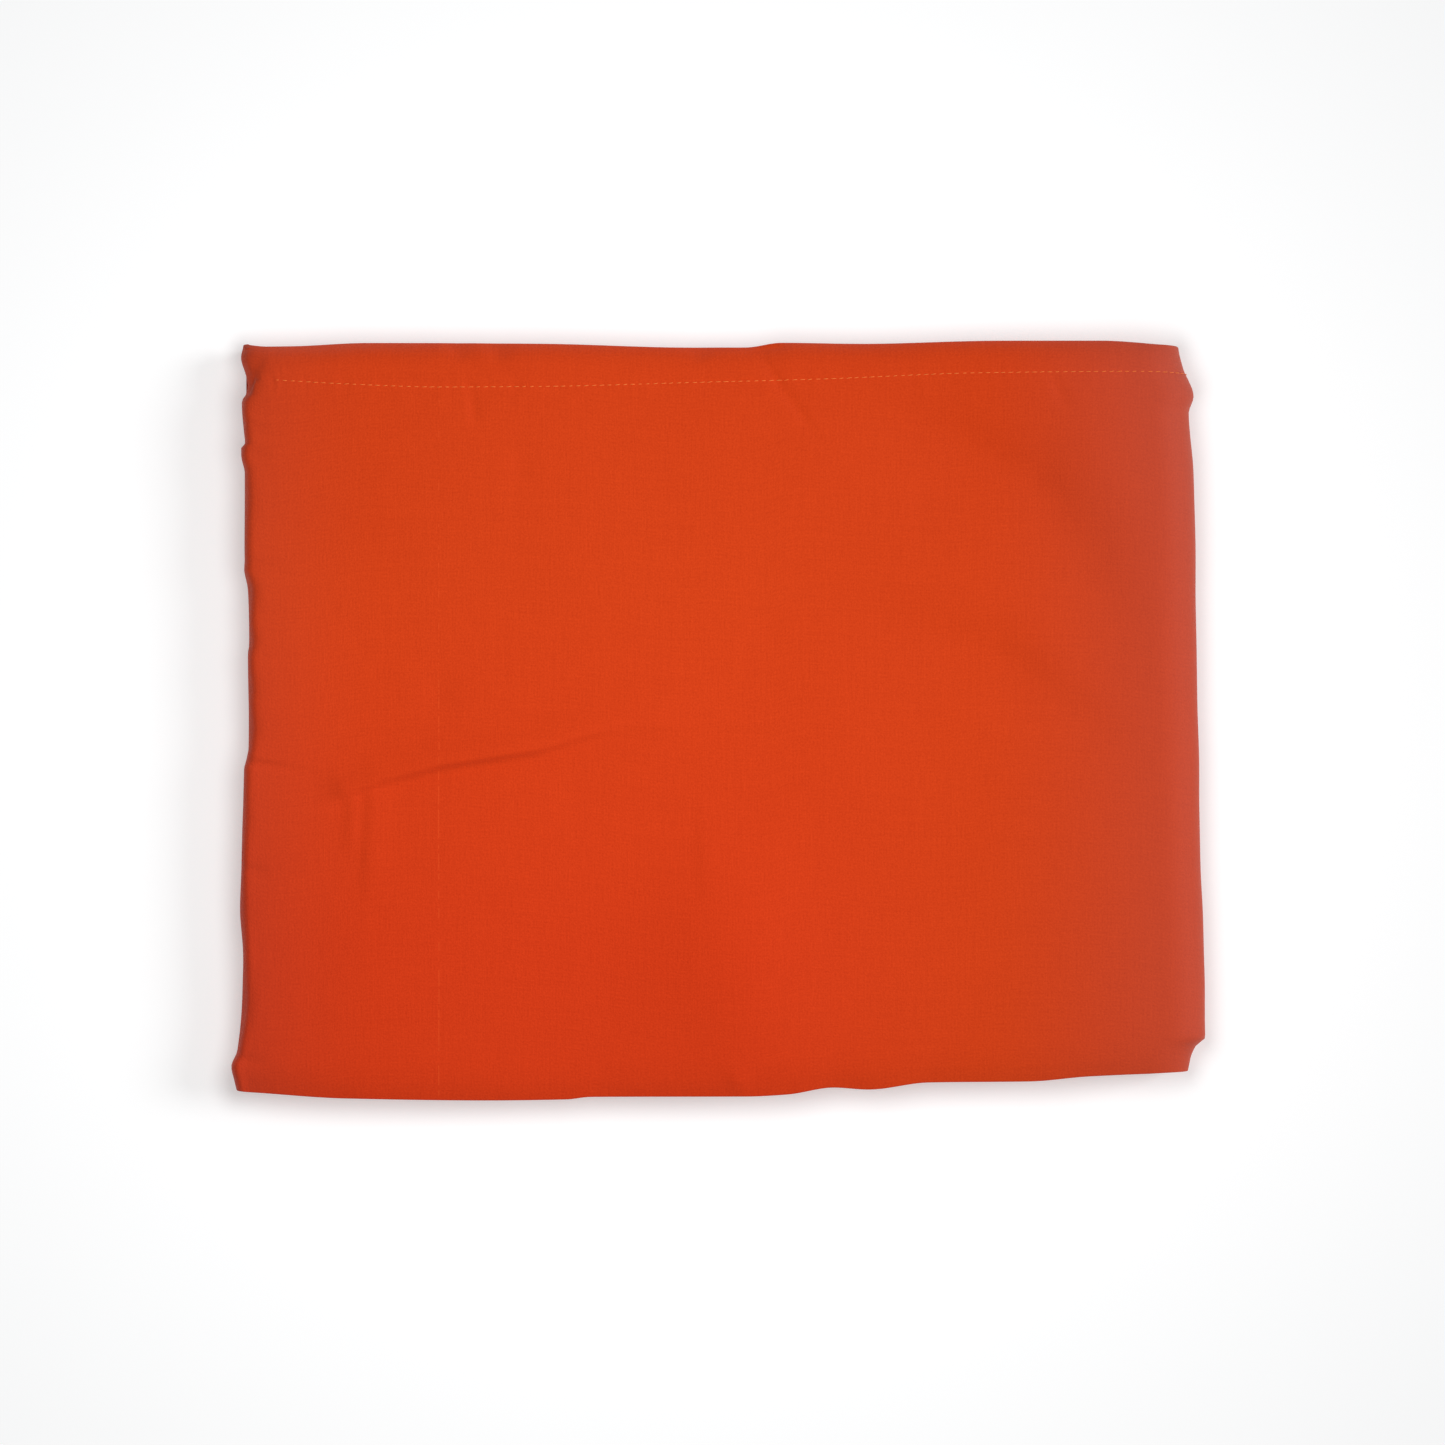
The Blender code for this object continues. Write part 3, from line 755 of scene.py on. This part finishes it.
def robe_sheet(material):
    """The outer sheet, and its flat width and length."""
    grid, u, v = sheet_grid()
    lines, rows = grid.shape[:2]
    piece = new_piece("robe_sheet", grid.reshape(-1, 3), grid_faces(lines, rows), material)
    lay_uv(piece, "Cloth", u.ravel() * MM, v.ravel() * MM)
    width, length = np.mean(u[-1] - u[0]), np.mean(v[:, -1])
    line_places = within_margin(np.mean(u - u[0], axis=1) / width, 0.005)
    row_places = within_margin(np.mean(v, axis=0) / length, 0.005)
    lay_uv(piece, "OFBake", np.repeat(line_places, rows), np.tile(row_places, lines))
    return piece, width, length


def leaf_path(side):
    """The folded strip's line along a side of the stack, through all eight leaves: x, z, the leaf's number."""
    y = side * (STACK_DEPTH / 2 - SECTION_INSET)
    height, right = left_height(y), right_height(y)
    fold_middle = left_edge(y) + height / 4
    lower_middle = lower_left_edge(y) + height / LEAVES
    right_middle = right_edge(y) - RIGHT_FOLD_REACH
    free_end = -STACK_WIDTH / 2 + LOWER_LEFT_CURVE(y) + BEAD_RADIUS

    def flat(start, end, leaf):
        x = np.linspace(start, end, FLAT_STEPS)
        edge_y = near_edge(x) + LEVEL_INSET if side < 0.0 else far_edge(x) - LEVEL_INSET
        level = (STRIP_LEVELS.index(leaf) + 0.5) / LEAVES
        return x, level * (top_height(np.clip(x, fold_middle, right_middle), edge_y) - TOP_ROOM), leaf

    def right_turn(lower_leaf, way, leaf):
        share = 1.0 - 2.0 * (STRIP_LEVELS.index(lower_leaf) + 0.5) / LEAVES
        angle = way * math.pi * np.linspace(-0.5, 0.5, 8 + int(14 * share))[1:-1]
        x = right_middle + RIGHT_FOLD_REACH * share * np.cos(angle)
        return x, right / 2 * (1.0 + share * np.sin(angle)), leaf

    def left_turn(middle, centre, radius, way, leaf):
        angle = math.pi + way * math.pi * np.linspace(0.5, -0.5, 8 + int(2 * radius))[1:-1]
        return middle + radius * np.cos(angle), centre + radius * np.sin(angle), leaf

    stretches = [
        flat(free_end + FREE_END_INSET[0], right_middle, 1),
        right_turn(1, 1.0, 1),
        flat(right_middle, fold_middle, 2),
        left_turn(fold_middle, 0.75 * height, 1.5 * height / LEAVES, 1.0, 2),
        flat(fold_middle, right_middle, 3),
        right_turn(4, -1.0, 3),
        flat(right_middle, lower_middle, 4),
        left_turn(lower_middle, height / LEAVES, 0.5 * height / LEAVES, 1.0, 4),
        flat(lower_middle, right_middle, 5),
        right_turn(5, 1.0, 5),
        flat(right_middle, fold_middle, 6),
        left_turn(fold_middle, 0.75 * height, 0.5 * height / LEAVES, -1.0, 6),
        flat(fold_middle, right_middle, 7),
        right_turn(8, -1.0, 7),
        flat(right_middle, free_end + FREE_END_INSET[1], 8),
    ]
    x = np.concatenate([stretch[0] for stretch in stretches])
    z = np.concatenate([stretch[1] for stretch in stretches])
    leaves = np.concatenate([np.full(len(stretch[0]), stretch[2]) for stretch in stretches])
    return x, z, leaves


def side_frames(side, offset, number):
    """The frames of one bead along the near (-1) or far (1) side: centre, the ways in and up, the leaf."""
    x, z, leaves = leaf_path(side)
    run = np.stack([np.gradient(x), np.gradient(z)], axis=1)
    run /= np.linalg.norm(run, axis=1)[:, None]
    up_x, up_z = -run[:, 1], run[:, 0]
    x, z = x + up_x * offset, z + up_z * offset
    length = np.concatenate([[0.0], np.cumsum(np.hypot(np.diff(x), np.diff(z)))])
    seed = BEAD_SEED + 10 * number + (5 if side > 0.0 else 0)
    inset = np.maximum(EDGE_INSET + wander(length, EDGE_WANDER, (seed, seed + 1)), LEAST_INSET)
    lift = wander(length, EDGE_LIFT, (seed + 2,))
    fold_middle = left_edge(side * (STACK_DEPTH / 2 - SECTION_INSET)) + STACK_HEIGHT / 4
    inset += LEFT_TURN_INSET * np.clip((fold_middle - x) / LEFT_TURN_REACH, 0.0, 1.0)
    edge = near_edge(x) if side < 0.0 else far_edge(x)
    centres = np.stack([x + up_x * lift, edge - side * (inset + BEAD_RADIUS), z + up_z * lift], axis=1)
    inward = np.tile([0.0, -side, 0.0], (len(x), 1))
    normals = np.stack([up_x, np.zeros(len(x)), up_z], axis=1)
    return centres, inward, normals, leaves


def corner_frames(start, end):
    """The frames round a corner of a leaf's free end, from one frame to another."""
    centres, inward, normals = [], [], []
    for step in range(1, CORNER_STEPS):
        share = step / CORNER_STEPS
        way = blend(start[1], end[1], share)
        way = way / np.linalg.norm(way)
        bulge = CORNER_BULGE * math.sin(math.pi * share) * np.linalg.norm(end[0] - start[0])
        centres.append(blend(start[0], end[0], share) - way * bulge)
        inward.append(way)
        normals.append(blend(start[2], end[2], share))
    return np.array(centres), np.array(inward), np.array(normals)


def end_frames(near_frame, far_frame, number):
    """The frames of one bead along a leaf's free end on the left, from the near side to the far side."""
    start, end = near_frame[0], far_frame[0]
    y = np.linspace(start[1] + CORNER_ROOM, end[1] - CORNER_ROOM, FREE_END_STEPS)
    uneven = wander(y, FREE_END_WANDER, [seed + number for seed in FREE_END_SEEDS])
    x = start[0] - 1.0 + LOWER_LEFT_CURVE(y) - LOWER_LEFT_CURVE(start[1]) + np.maximum(uneven, LEAST_WANDER)
    share = (y - start[1]) / (end[1] - start[1])
    level = blend(start[2] / left_height(start[1]), end[2] / left_height(end[1]), share)
    inward = np.tile([1.0, 0.0, 0.0], (len(y), 1))
    normals = np.tile(near_frame[2], (len(y), 1))
    return np.stack([x, y, level * left_height(y)], axis=1), inward, normals


def bead_ribbon(centres, inward, normals):
    """A hairpin of cloth swept along its frames: a run, the round edge, and a run back."""
    columns = [(run, BEAD_RADIUS) for run in BEAD_RUN]
    for angle in np.linspace(0.0, math.pi, BEAD_TURN_COLUMNS):
        columns.append((-BEAD_RADIUS * math.sin(angle), BEAD_RADIUS * math.cos(angle)))
    columns += [(run, -BEAD_RADIUS) for run in reversed(BEAD_RUN)]
    return np.stack([centres + inward * along + normals * up for along, up in columns], axis=1)


def cut(frames, places):
    return [values[places] for values in frames[:3]]


def turned(frames):
    return [values[::-1] for values in frames[:3]]


def join_frames(*parts):
    return [np.concatenate([part[index] for part in parts]) for index in range(3)]


def free_end(near, far, place, number):
    """The frames of one bead round a leaf's free end on the left, with its two corners."""
    near_frame, far_frame = cut(near, place), cut(far, place)
    middle = end_frames(near_frame, far_frame, number)
    first_corner = corner_frames(near_frame, cut(middle, 0))
    last_corner = corner_frames(cut(middle, -1), far_frame)
    return join_frames(first_corner, middle, last_corner)


def bead_runs(number, offset):
    """The frames of one bead: round the first leaf's free end, and round the last's."""
    near, far = side_frames(-1.0, offset, number), side_frames(1.0, offset, number)
    first_end, last_end = free_end(near, far, 0, number), free_end(near, far, -1, number + len(BEADS))
    if offset != BEADS[0]:
        whole = join_frames(turned(near), first_end, far)
        return [whole, join_frames(cut(near, slice(-1, None)), last_end, cut(far, slice(-1, None)))]
    leaves = near[3]
    on_left_fold = near[0][:, 0] < left_edge(0.0) + STACK_HEIGHT / 4
    under_sheet = (leaves == 3) | (leaves == 4) | ((leaves == 2) & on_left_fold)
    before = slice(int(np.argmax(under_sheet)))
    after = slice(len(leaves) - int(np.argmax(under_sheet[::-1])), None)
    first = join_frames(turned(cut(near, before)), first_end, cut(far, before))
    last = join_frames(cut(near, after), last_end, turned(cut(far, after)))
    return [first, last]


def folded_edges(material):
    """The edges of the folded layers, beads along the sides and round the free ends, and their flat area."""
    runs = [run for number, offset in enumerate(BEADS) for run in bead_runs(number, offset)]
    points, faces, u_all, v_all, first = [], [], [], [], 0
    for band, frames in enumerate(runs):
        grid = bead_ribbon(*frames)
        lines, columns = grid.shape[:2]
        points.append(grid.reshape(-1, 3))
        faces.append(grid_faces(lines, columns) + first)
        first += lines * columns
        steps = np.linalg.norm(np.diff(frames[0], axis=0), axis=1)
        u_all.append(np.repeat(np.concatenate([[0.0], np.cumsum(steps)]), columns))
        v_all.append(np.tile(np.linspace(0.0, BEAD_BAND, columns), lines) + band * (BEAD_BAND + BAND_GAP))
    piece = new_piece("folded_edges", np.concatenate(points), np.concatenate(faces), material)
    u, v = np.concatenate(u_all), np.concatenate(v_all)
    lay_uv(piece, "Cloth", v * MM, u * MM)
    lay_uv(piece, "OFBake", within_margin(u / u.max(), 0.002), within_margin(v / v.max(), 0.002))
    return piece, sum(run.max() for run in u_all) * BEAD_BAND


def seam_stations():
    """Close stations from the sewing's start over the top, round the right fold and along the underside."""
    top_start, top_end = left_edge(0.0) + STACK_HEIGHT / 4, right_edge(0.0) - RIGHT_FOLD_REACH
    first = (SEWING_START - top_start) / (top_end - top_start)
    stations = [("top", share) for share in np.linspace(first, 1.0, 240, endpoint=False)]
    stations += [("right fold", share) for share in np.linspace(0.0, 1.0, 30, endpoint=False)]
    stations += [("underside", share) for share in np.linspace(0.0, 1.0, 120)]
    return stations


def seam_run():
    """The seam's line: its places with the way out (x, y, z, out x, out z), and the length up to each."""
    places = []
    for stretch, share in seam_stations():
        x, _, _, _, under = sheet_section(stretch, share, np.array([0.0]))
        seam = float(stitch_line(float(x[0]))) - LOWER_LEAF_INSET * under
        x, z, out_x, out_z, _ = sheet_section(stretch, share, np.array([seam]))
        places.append((x[0] - out_x[0] * SEAM_DEPTH, seam, z[0] - out_z[0] * SEAM_DEPTH, out_x[0], out_z[0]))
    places = np.array(places)
    steps = np.linalg.norm(np.diff(places[:, :3], axis=0), axis=1)
    return places, np.concatenate([[0.0], np.cumsum(steps)])


def stitch_points(places, run, start, length, slant, depth):
    """The rings of thread of one stitch, thinner and deeper at its ends, and pressed flat under the stack."""
    points = []
    for share in np.linspace(0.0, 1.0, THREAD_RINGS):
        x, y, z, out_x, out_z = [np.interp(start + length * share, run, column) for column in places.T]
        out = np.array([out_x, 0.0, out_z])
        out /= np.linalg.norm(out)
        arch = math.sin(math.pi * share)
        lift = STITCH_ARCH * arch * (1.0 - UNDERSIDE_PRESS * max(-out[2], 0.0)) - depth
        middle = np.array([x, y + slant * (share - 0.5), z]) + out * lift
        radius = THREAD_RADIUS * blend(THREAD_END, 1.0, arch)
        for angle in np.linspace(0.0, 2.0 * math.pi, THREAD_SIDES, endpoint=False):
            points.append(middle + radius * (out * math.cos(angle) + np.array([0.0, math.sin(angle), 0.0])))
    return points


def tube_faces(first, rings, sides):
    """The faces of a closed tube of rings, from its first point on."""
    faces = []
    for ring in range(rings - 1):
        for side in range(sides):
            here, after = first + ring * sides + side, first + ring * sides + (side + 1) % sides
            faces.append((here, after, after + sides, here + sides))
    faces.append(tuple(first + side for side in reversed(range(sides))))
    faces.append(tuple(first + (rings - 1) * sides + side for side in range(sides)))
    return faces


def stitches(material):
    """The row of stitches along the hem."""
    places, run = seam_run()
    chance = np.random.default_rng(SEED)
    deeper, deeper_by = DEEPER_ALONG
    points, faces = [], []
    for number in range(int(run[-1] / STITCH_PITCH)):
        start = STITCH_PITCH * number + chance.uniform(-PITCH_CHANCE, PITCH_CHANCE)
        length = STITCH_LENGTH + chance.uniform(-LENGTH_CHANCE, LENGTH_CHANCE)
        slant = chance.uniform(*SLANTS)
        depth = blend(FIRST_DEPTH, chance.uniform(*STITCH_DEPTHS), min(number / FIRST_STITCHES, 1.0))
        depth += deeper * min(number / deeper_by, 1.0)
        faces += tube_faces(len(points), THREAD_RINGS, THREAD_SIDES)
        points += stitch_points(places, run, start, length, slant, depth)
    return new_piece("hem_stitches", points, faces, material)


def node(tree, kind, **inputs):
    """A new shader node, with its sockets set to values or linked to other sockets."""
    made = tree.nodes.new(kind)
    for name, value in inputs.items():
        socket = made.inputs[name.replace("_", " ")]
        if isinstance(value, bpy.types.NodeSocket):
            tree.links.new(value, socket)
        else:
            socket.default_value = value
    return made


def maths(tree, operation, first, second):
    made = tree.nodes.new("ShaderNodeMath")
    made.operation = operation
    for socket, value in zip(made.inputs, (first, second)):
        if isinstance(value, bpy.types.NodeSocket):
            tree.links.new(value, socket)
        else:
            socket.default_value = value
    return made.outputs[0]


def weighted_sum(tree, parts):
    """The sum of some sockets, each times its weight."""
    products = [maths(tree, "MULTIPLY", socket, weight) for socket, weight in parts]
    total = products[0]
    for product in products[1:]:
        total = maths(tree, "ADD", total, product)
    return total


def stretched_noise(tree, place, streaks):
    """Streaks of noise: their size across and along the cloth in metres, and their detail."""
    across, along, detail = streaks
    mapping = node(tree, "ShaderNodeMapping", Vector=place, Scale=(1.0 / across, 1.0 / along, 1.0))
    noise = node(tree, "ShaderNodeTexNoise", Vector=mapping.outputs["Vector"], Scale=1.0, Detail=detail)
    return noise.outputs["Fac"]


def rise(tree, place, start_and_end):
    """How far a place on the cloth lies from a start to an end in millimetres, from 0 to 1."""
    start, end = start_and_end
    ranged = node(tree, "ShaderNodeMapRange", Value=place, From_Min=start * MM, From_Max=end * MM)
    return ranged.outputs["Result"]


def two_tones(tree, share, dark, light):
    ramp = node(tree, "ShaderNodeValToRGB", Fac=share)
    ramp.color_ramp.elements[0].color = dark
    ramp.color_ramp.elements[1].color = light
    return ramp


def mixed_colours(tree, share, first, second, blend_type="MIX"):
    """A colour socket mixed with a set colour, by a share."""
    mix = tree.nodes.new("ShaderNodeMix")
    mix.data_type = "RGBA"
    mix.blend_type = blend_type
    tree.links.new(share, mix.inputs["Factor"])
    tree.links.new(first, mix.inputs["A"])
    mix.inputs["B"].default_value = second
    return mix.outputs["Result"]


def dye_with_painted_light(tree, across, along, colour, share):
    """The dye with painted light on it: a painted redder cast towards the near edge, and a painted pale sheen
    towards the side folds and the hem.
    """
    # Painted light: a redder cast of the light painted towards the near edge
    redder_cast = maths(tree, "MULTIPLY", rise(tree, along, REDDER_CAST_ALONG), rise(tree, across, REDDER_CAST_ACROSS))
    colour = mixed_colours(tree, maths(tree, "MULTIPLY", redder_cast, share), colour, PAINTED_REDDER_CAST, "MULTIPLY")
    # Painted sheen: a pale haze of light painted towards the side folds and the hem
    to_right = maths(tree, "POWER", rise(tree, across, SHEEN_TO_RIGHT), PAINTED_SHEEN_BEND)
    to_left = maths(tree, "POWER", rise(tree, across, SHEEN_TO_LEFT), PAINTED_SHEEN_BEND)
    to_hem = maths(tree, "POWER", rise(tree, along, SHEEN_TO_HEM), PAINTED_SHEEN_BEND)
    right_sheen = maths(tree, "ADD", RIGHT_PAINTED_SHEEN, maths(tree, "MULTIPLY", to_hem, HEM_PAINTED_SHEEN))
    painted_sheen = weighted_sum(tree, ((to_right, right_sheen), (to_left, LEFT_PAINTED_SHEEN)))
    return mixed_colours(tree, maths(tree, "MULTIPLY", painted_sheen, share), colour, PAINTED_SHEEN_COLOUR)


def on_thick_thread(tree, place, across, along):
    """Where the one thicker warp thread shows."""
    aside = maths(tree, "ABSOLUTE", maths(tree, "SUBTRACT", across, LINE_PLACE * MM), 0.0)
    denser = maths(tree, "MULTIPLY", maths(tree, "GREATER_THAN", along, LINE_DENSER_FROM), LINE_DENSER)
    threshold = maths(tree, "SUBTRACT", LINE_THRESHOLD, denser)
    shows = maths(tree, "GREATER_THAN", stretched_noise(tree, place, LINE_PIECES), threshold)
    return maths(tree, "MULTIPLY", maths(tree, "LESS_THAN", aside, LINE_WIDTH * MM / 2), shows)


def cotton(name, dark, light, line, sheen, fade):
    """Plain-woven cotton: grainy threads both ways, faintly mottled dye, and one thicker, paler warp thread."""
    material = bpy.data.materials.new(name)
    material.use_nodes = True
    tree = material.node_tree
    shader = tree.nodes["Principled BSDF"]
    place = node(tree, "ShaderNodeUVMap").outputs["UV"]
    place.node.uv_map = "Cloth"
    axes = node(tree, "ShaderNodeSeparateXYZ", Vector=place)
    across, along = axes.outputs["X"], axes.outputs["Y"]
    grain, warp, weft = [stretched_noise(tree, place, streaks) for streaks in (GRAIN, WARP, WEFT)]
    threads = weighted_sum(tree, ((warp, WARP_SHARE), (weft, WEFT_SHARE)))
    tone = weighted_sum(
        tree,
        (
            (threads, THREADS_SHARE),
            (grain, GRAIN_SHARE),
            (stretched_noise(tree, place, LONG_WARP), LONG_SHARE),
            (stretched_noise(tree, place, LONG_WEFT), LONG_SHARE),
            (stretched_noise(tree, place, MOTTLE), MOTTLE_SHARE),
        ),
    )
    ramp = two_tones(tree, tone, dark, light)
    for element, position in zip(ramp.color_ramp.elements, TONES):
        element.position = position
    # Painted light: the redder cast and the pale sheen are painted into the colour here, as much as fade says
    dye_and_painted_light = dye_with_painted_light(tree, across, along, ramp.outputs["Color"], fade)
    colour = mixed_colours(tree, on_thick_thread(tree, place, across, along), dye_and_painted_light, line)
    relief = maths(tree, "ADD", threads, grain)
    bump = node(tree, "ShaderNodeBump", Height=relief, Strength=THREAD_BUMP, Distance=THREAD_HEIGHT)
    tree.links.new(colour, shader.inputs["Base Color"])
    tree.links.new(bump.outputs["Normal"], shader.inputs["Normal"])
    shader.inputs["Roughness"].default_value = COTTON_ROUGHNESS
    shader.inputs["Specular IOR Level"].default_value = COTTON_SPECULAR
    shader.inputs["Sheen Weight"].default_value = sheen
    shader.inputs["Sheen Roughness"].default_value = SHEEN_ROUGHNESS
    shader.inputs["Sheen Tint"].default_value = SHEEN_TINT
    return material


def thread_material():
    material = bpy.data.materials.new("hem thread")
    material.use_nodes = True
    tree = material.node_tree
    shader = tree.nodes["Principled BSDF"]
    place = node(tree, "ShaderNodeTexCoord").outputs["Object"]
    noise = node(tree, "ShaderNodeTexNoise", Vector=place, Scale=900.0, Detail=2.0)
    ramp = two_tones(tree, noise.outputs["Fac"], *SEWING_COLOURS)
    tree.links.new(ramp.outputs["Color"], shader.inputs["Base Color"])
    shader.inputs["Roughness"].default_value = 0.6
    shader.inputs["Specular IOR Level"].default_value = 0.25
    return material


def floor():
    """A wide, plain, pale floor just under the robe."""
    corners = ((-1.0, -1.0), (1.0, -1.0), (1.0, 1.0), (-1.0, 1.0))
    mesh = bpy.data.meshes.new("floor")
    points = [(FLOOR_REACH * x, FLOOR_REACH * y, FLOOR_LEVEL) for x, y in corners]
    mesh.from_pydata(points, [], [(0, 1, 2, 3)])
    plane = bpy.data.objects.new("floor", mesh)
    bpy.context.scene.collection.objects.link(plane)
    material = bpy.data.materials.new("floor")
    material.use_nodes = True
    shader = material.node_tree.nodes["Principled BSDF"]
    shader.inputs["Base Color"].default_value = FLOOR_COLOUR
    shader.inputs["Emission Color"].default_value = (*WHITE, 1.0)
    shader.inputs["Emission Strength"].default_value = FLOOR_GLOW
    shader.inputs["Roughness"].default_value = 0.9
    shader.inputs["Specular IOR Level"].default_value = 0.1
    mesh.materials.append(material)


def place_light(name, kind, place, colour, strength):
    """A light that looks at the robe's middle."""
    light = bpy.data.lights.new(name, kind)
    light.energy = strength
    light.color = colour
    lamp = bpy.data.objects.new(name, light)
    lamp.location = place
    lamp.rotation_euler = (-Vector(place)).to_track_quat("-Z", "Y").to_euler()
    bpy.context.scene.collection.objects.link(lamp)
    return lamp


def lighting():
    """A soft ceiling light over the robe, a soft low light from the far right, and a plain white room."""
    ceiling = place_light("ceiling", "AREA", CEILING_PLACE, WHITE, CEILING_STRENGTH)
    ceiling.data.shape = "DISK"
    ceiling.data.size = CEILING_SIZE
    ceiling.visible_glossy = False
    window = place_light("window", "SUN", WINDOW_PLACE, WINDOW_COLOUR, WINDOW_STRENGTH)
    window.data.angle = WINDOW_ANGLE
    world = bpy.data.worlds.new("studio")
    world.use_nodes = True
    background = world.node_tree.nodes["Background"]
    background.inputs["Color"].default_value = (*WHITE, 1.0)
    background.inputs["Strength"].default_value = ROOM_STRENGTH
    bpy.context.scene.world = world


def camera():
    """A long lens almost straight above the robe, with the picture's frame."""
    width = PICTURE_PIXELS * PIXEL_SIZE * MM
    centre_x = (PICTURE_PIXELS / 2 - PICTURE_CENTRE[0]) * PIXEL_SIZE * MM
    centre_y = -(PICTURE_PIXELS / 2 - PICTURE_CENTRE[1]) * PIXEL_SIZE * MM
    target = Vector((centre_x, centre_y, TARGET_HEIGHT * STACK_HEIGHT * MM))
    data = bpy.data.cameras.new("camera")
    data.sensor_width = SENSOR_WIDTH
    data.lens = SENSOR_WIDTH * CAMERA_DISTANCE / width
    viewer = bpy.data.objects.new("camera", data)
    away = Vector((0.0, -math.cos(CAMERA_ELEVATION), math.sin(CAMERA_ELEVATION)))
    viewer.location = target + away * CAMERA_DISTANCE
    viewer.rotation_euler = (-away).to_track_quat("-Z", "Y").to_euler()
    bpy.context.scene.collection.objects.link(viewer)
    bpy.context.scene.camera = viewer


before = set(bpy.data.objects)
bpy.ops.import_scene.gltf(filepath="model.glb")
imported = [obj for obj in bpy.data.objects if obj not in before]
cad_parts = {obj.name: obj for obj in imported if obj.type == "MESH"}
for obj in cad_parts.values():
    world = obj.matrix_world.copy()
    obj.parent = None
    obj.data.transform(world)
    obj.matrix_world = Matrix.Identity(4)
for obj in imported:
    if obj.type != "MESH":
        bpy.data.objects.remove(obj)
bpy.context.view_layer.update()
bpy.context.scene.view_settings.view_transform = "Standard"

sheet, sheet_width, sheet_length = robe_sheet(cotton("orange cotton", *OUTER_COTTON))
edges, edges_area = folded_edges(cotton("inner orange cotton", *INNER_COTTON))
sewing = stitches(thread_material())
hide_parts("robe_panel", "hem_band")
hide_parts("folded_layers")
floor()
lighting()
camera()
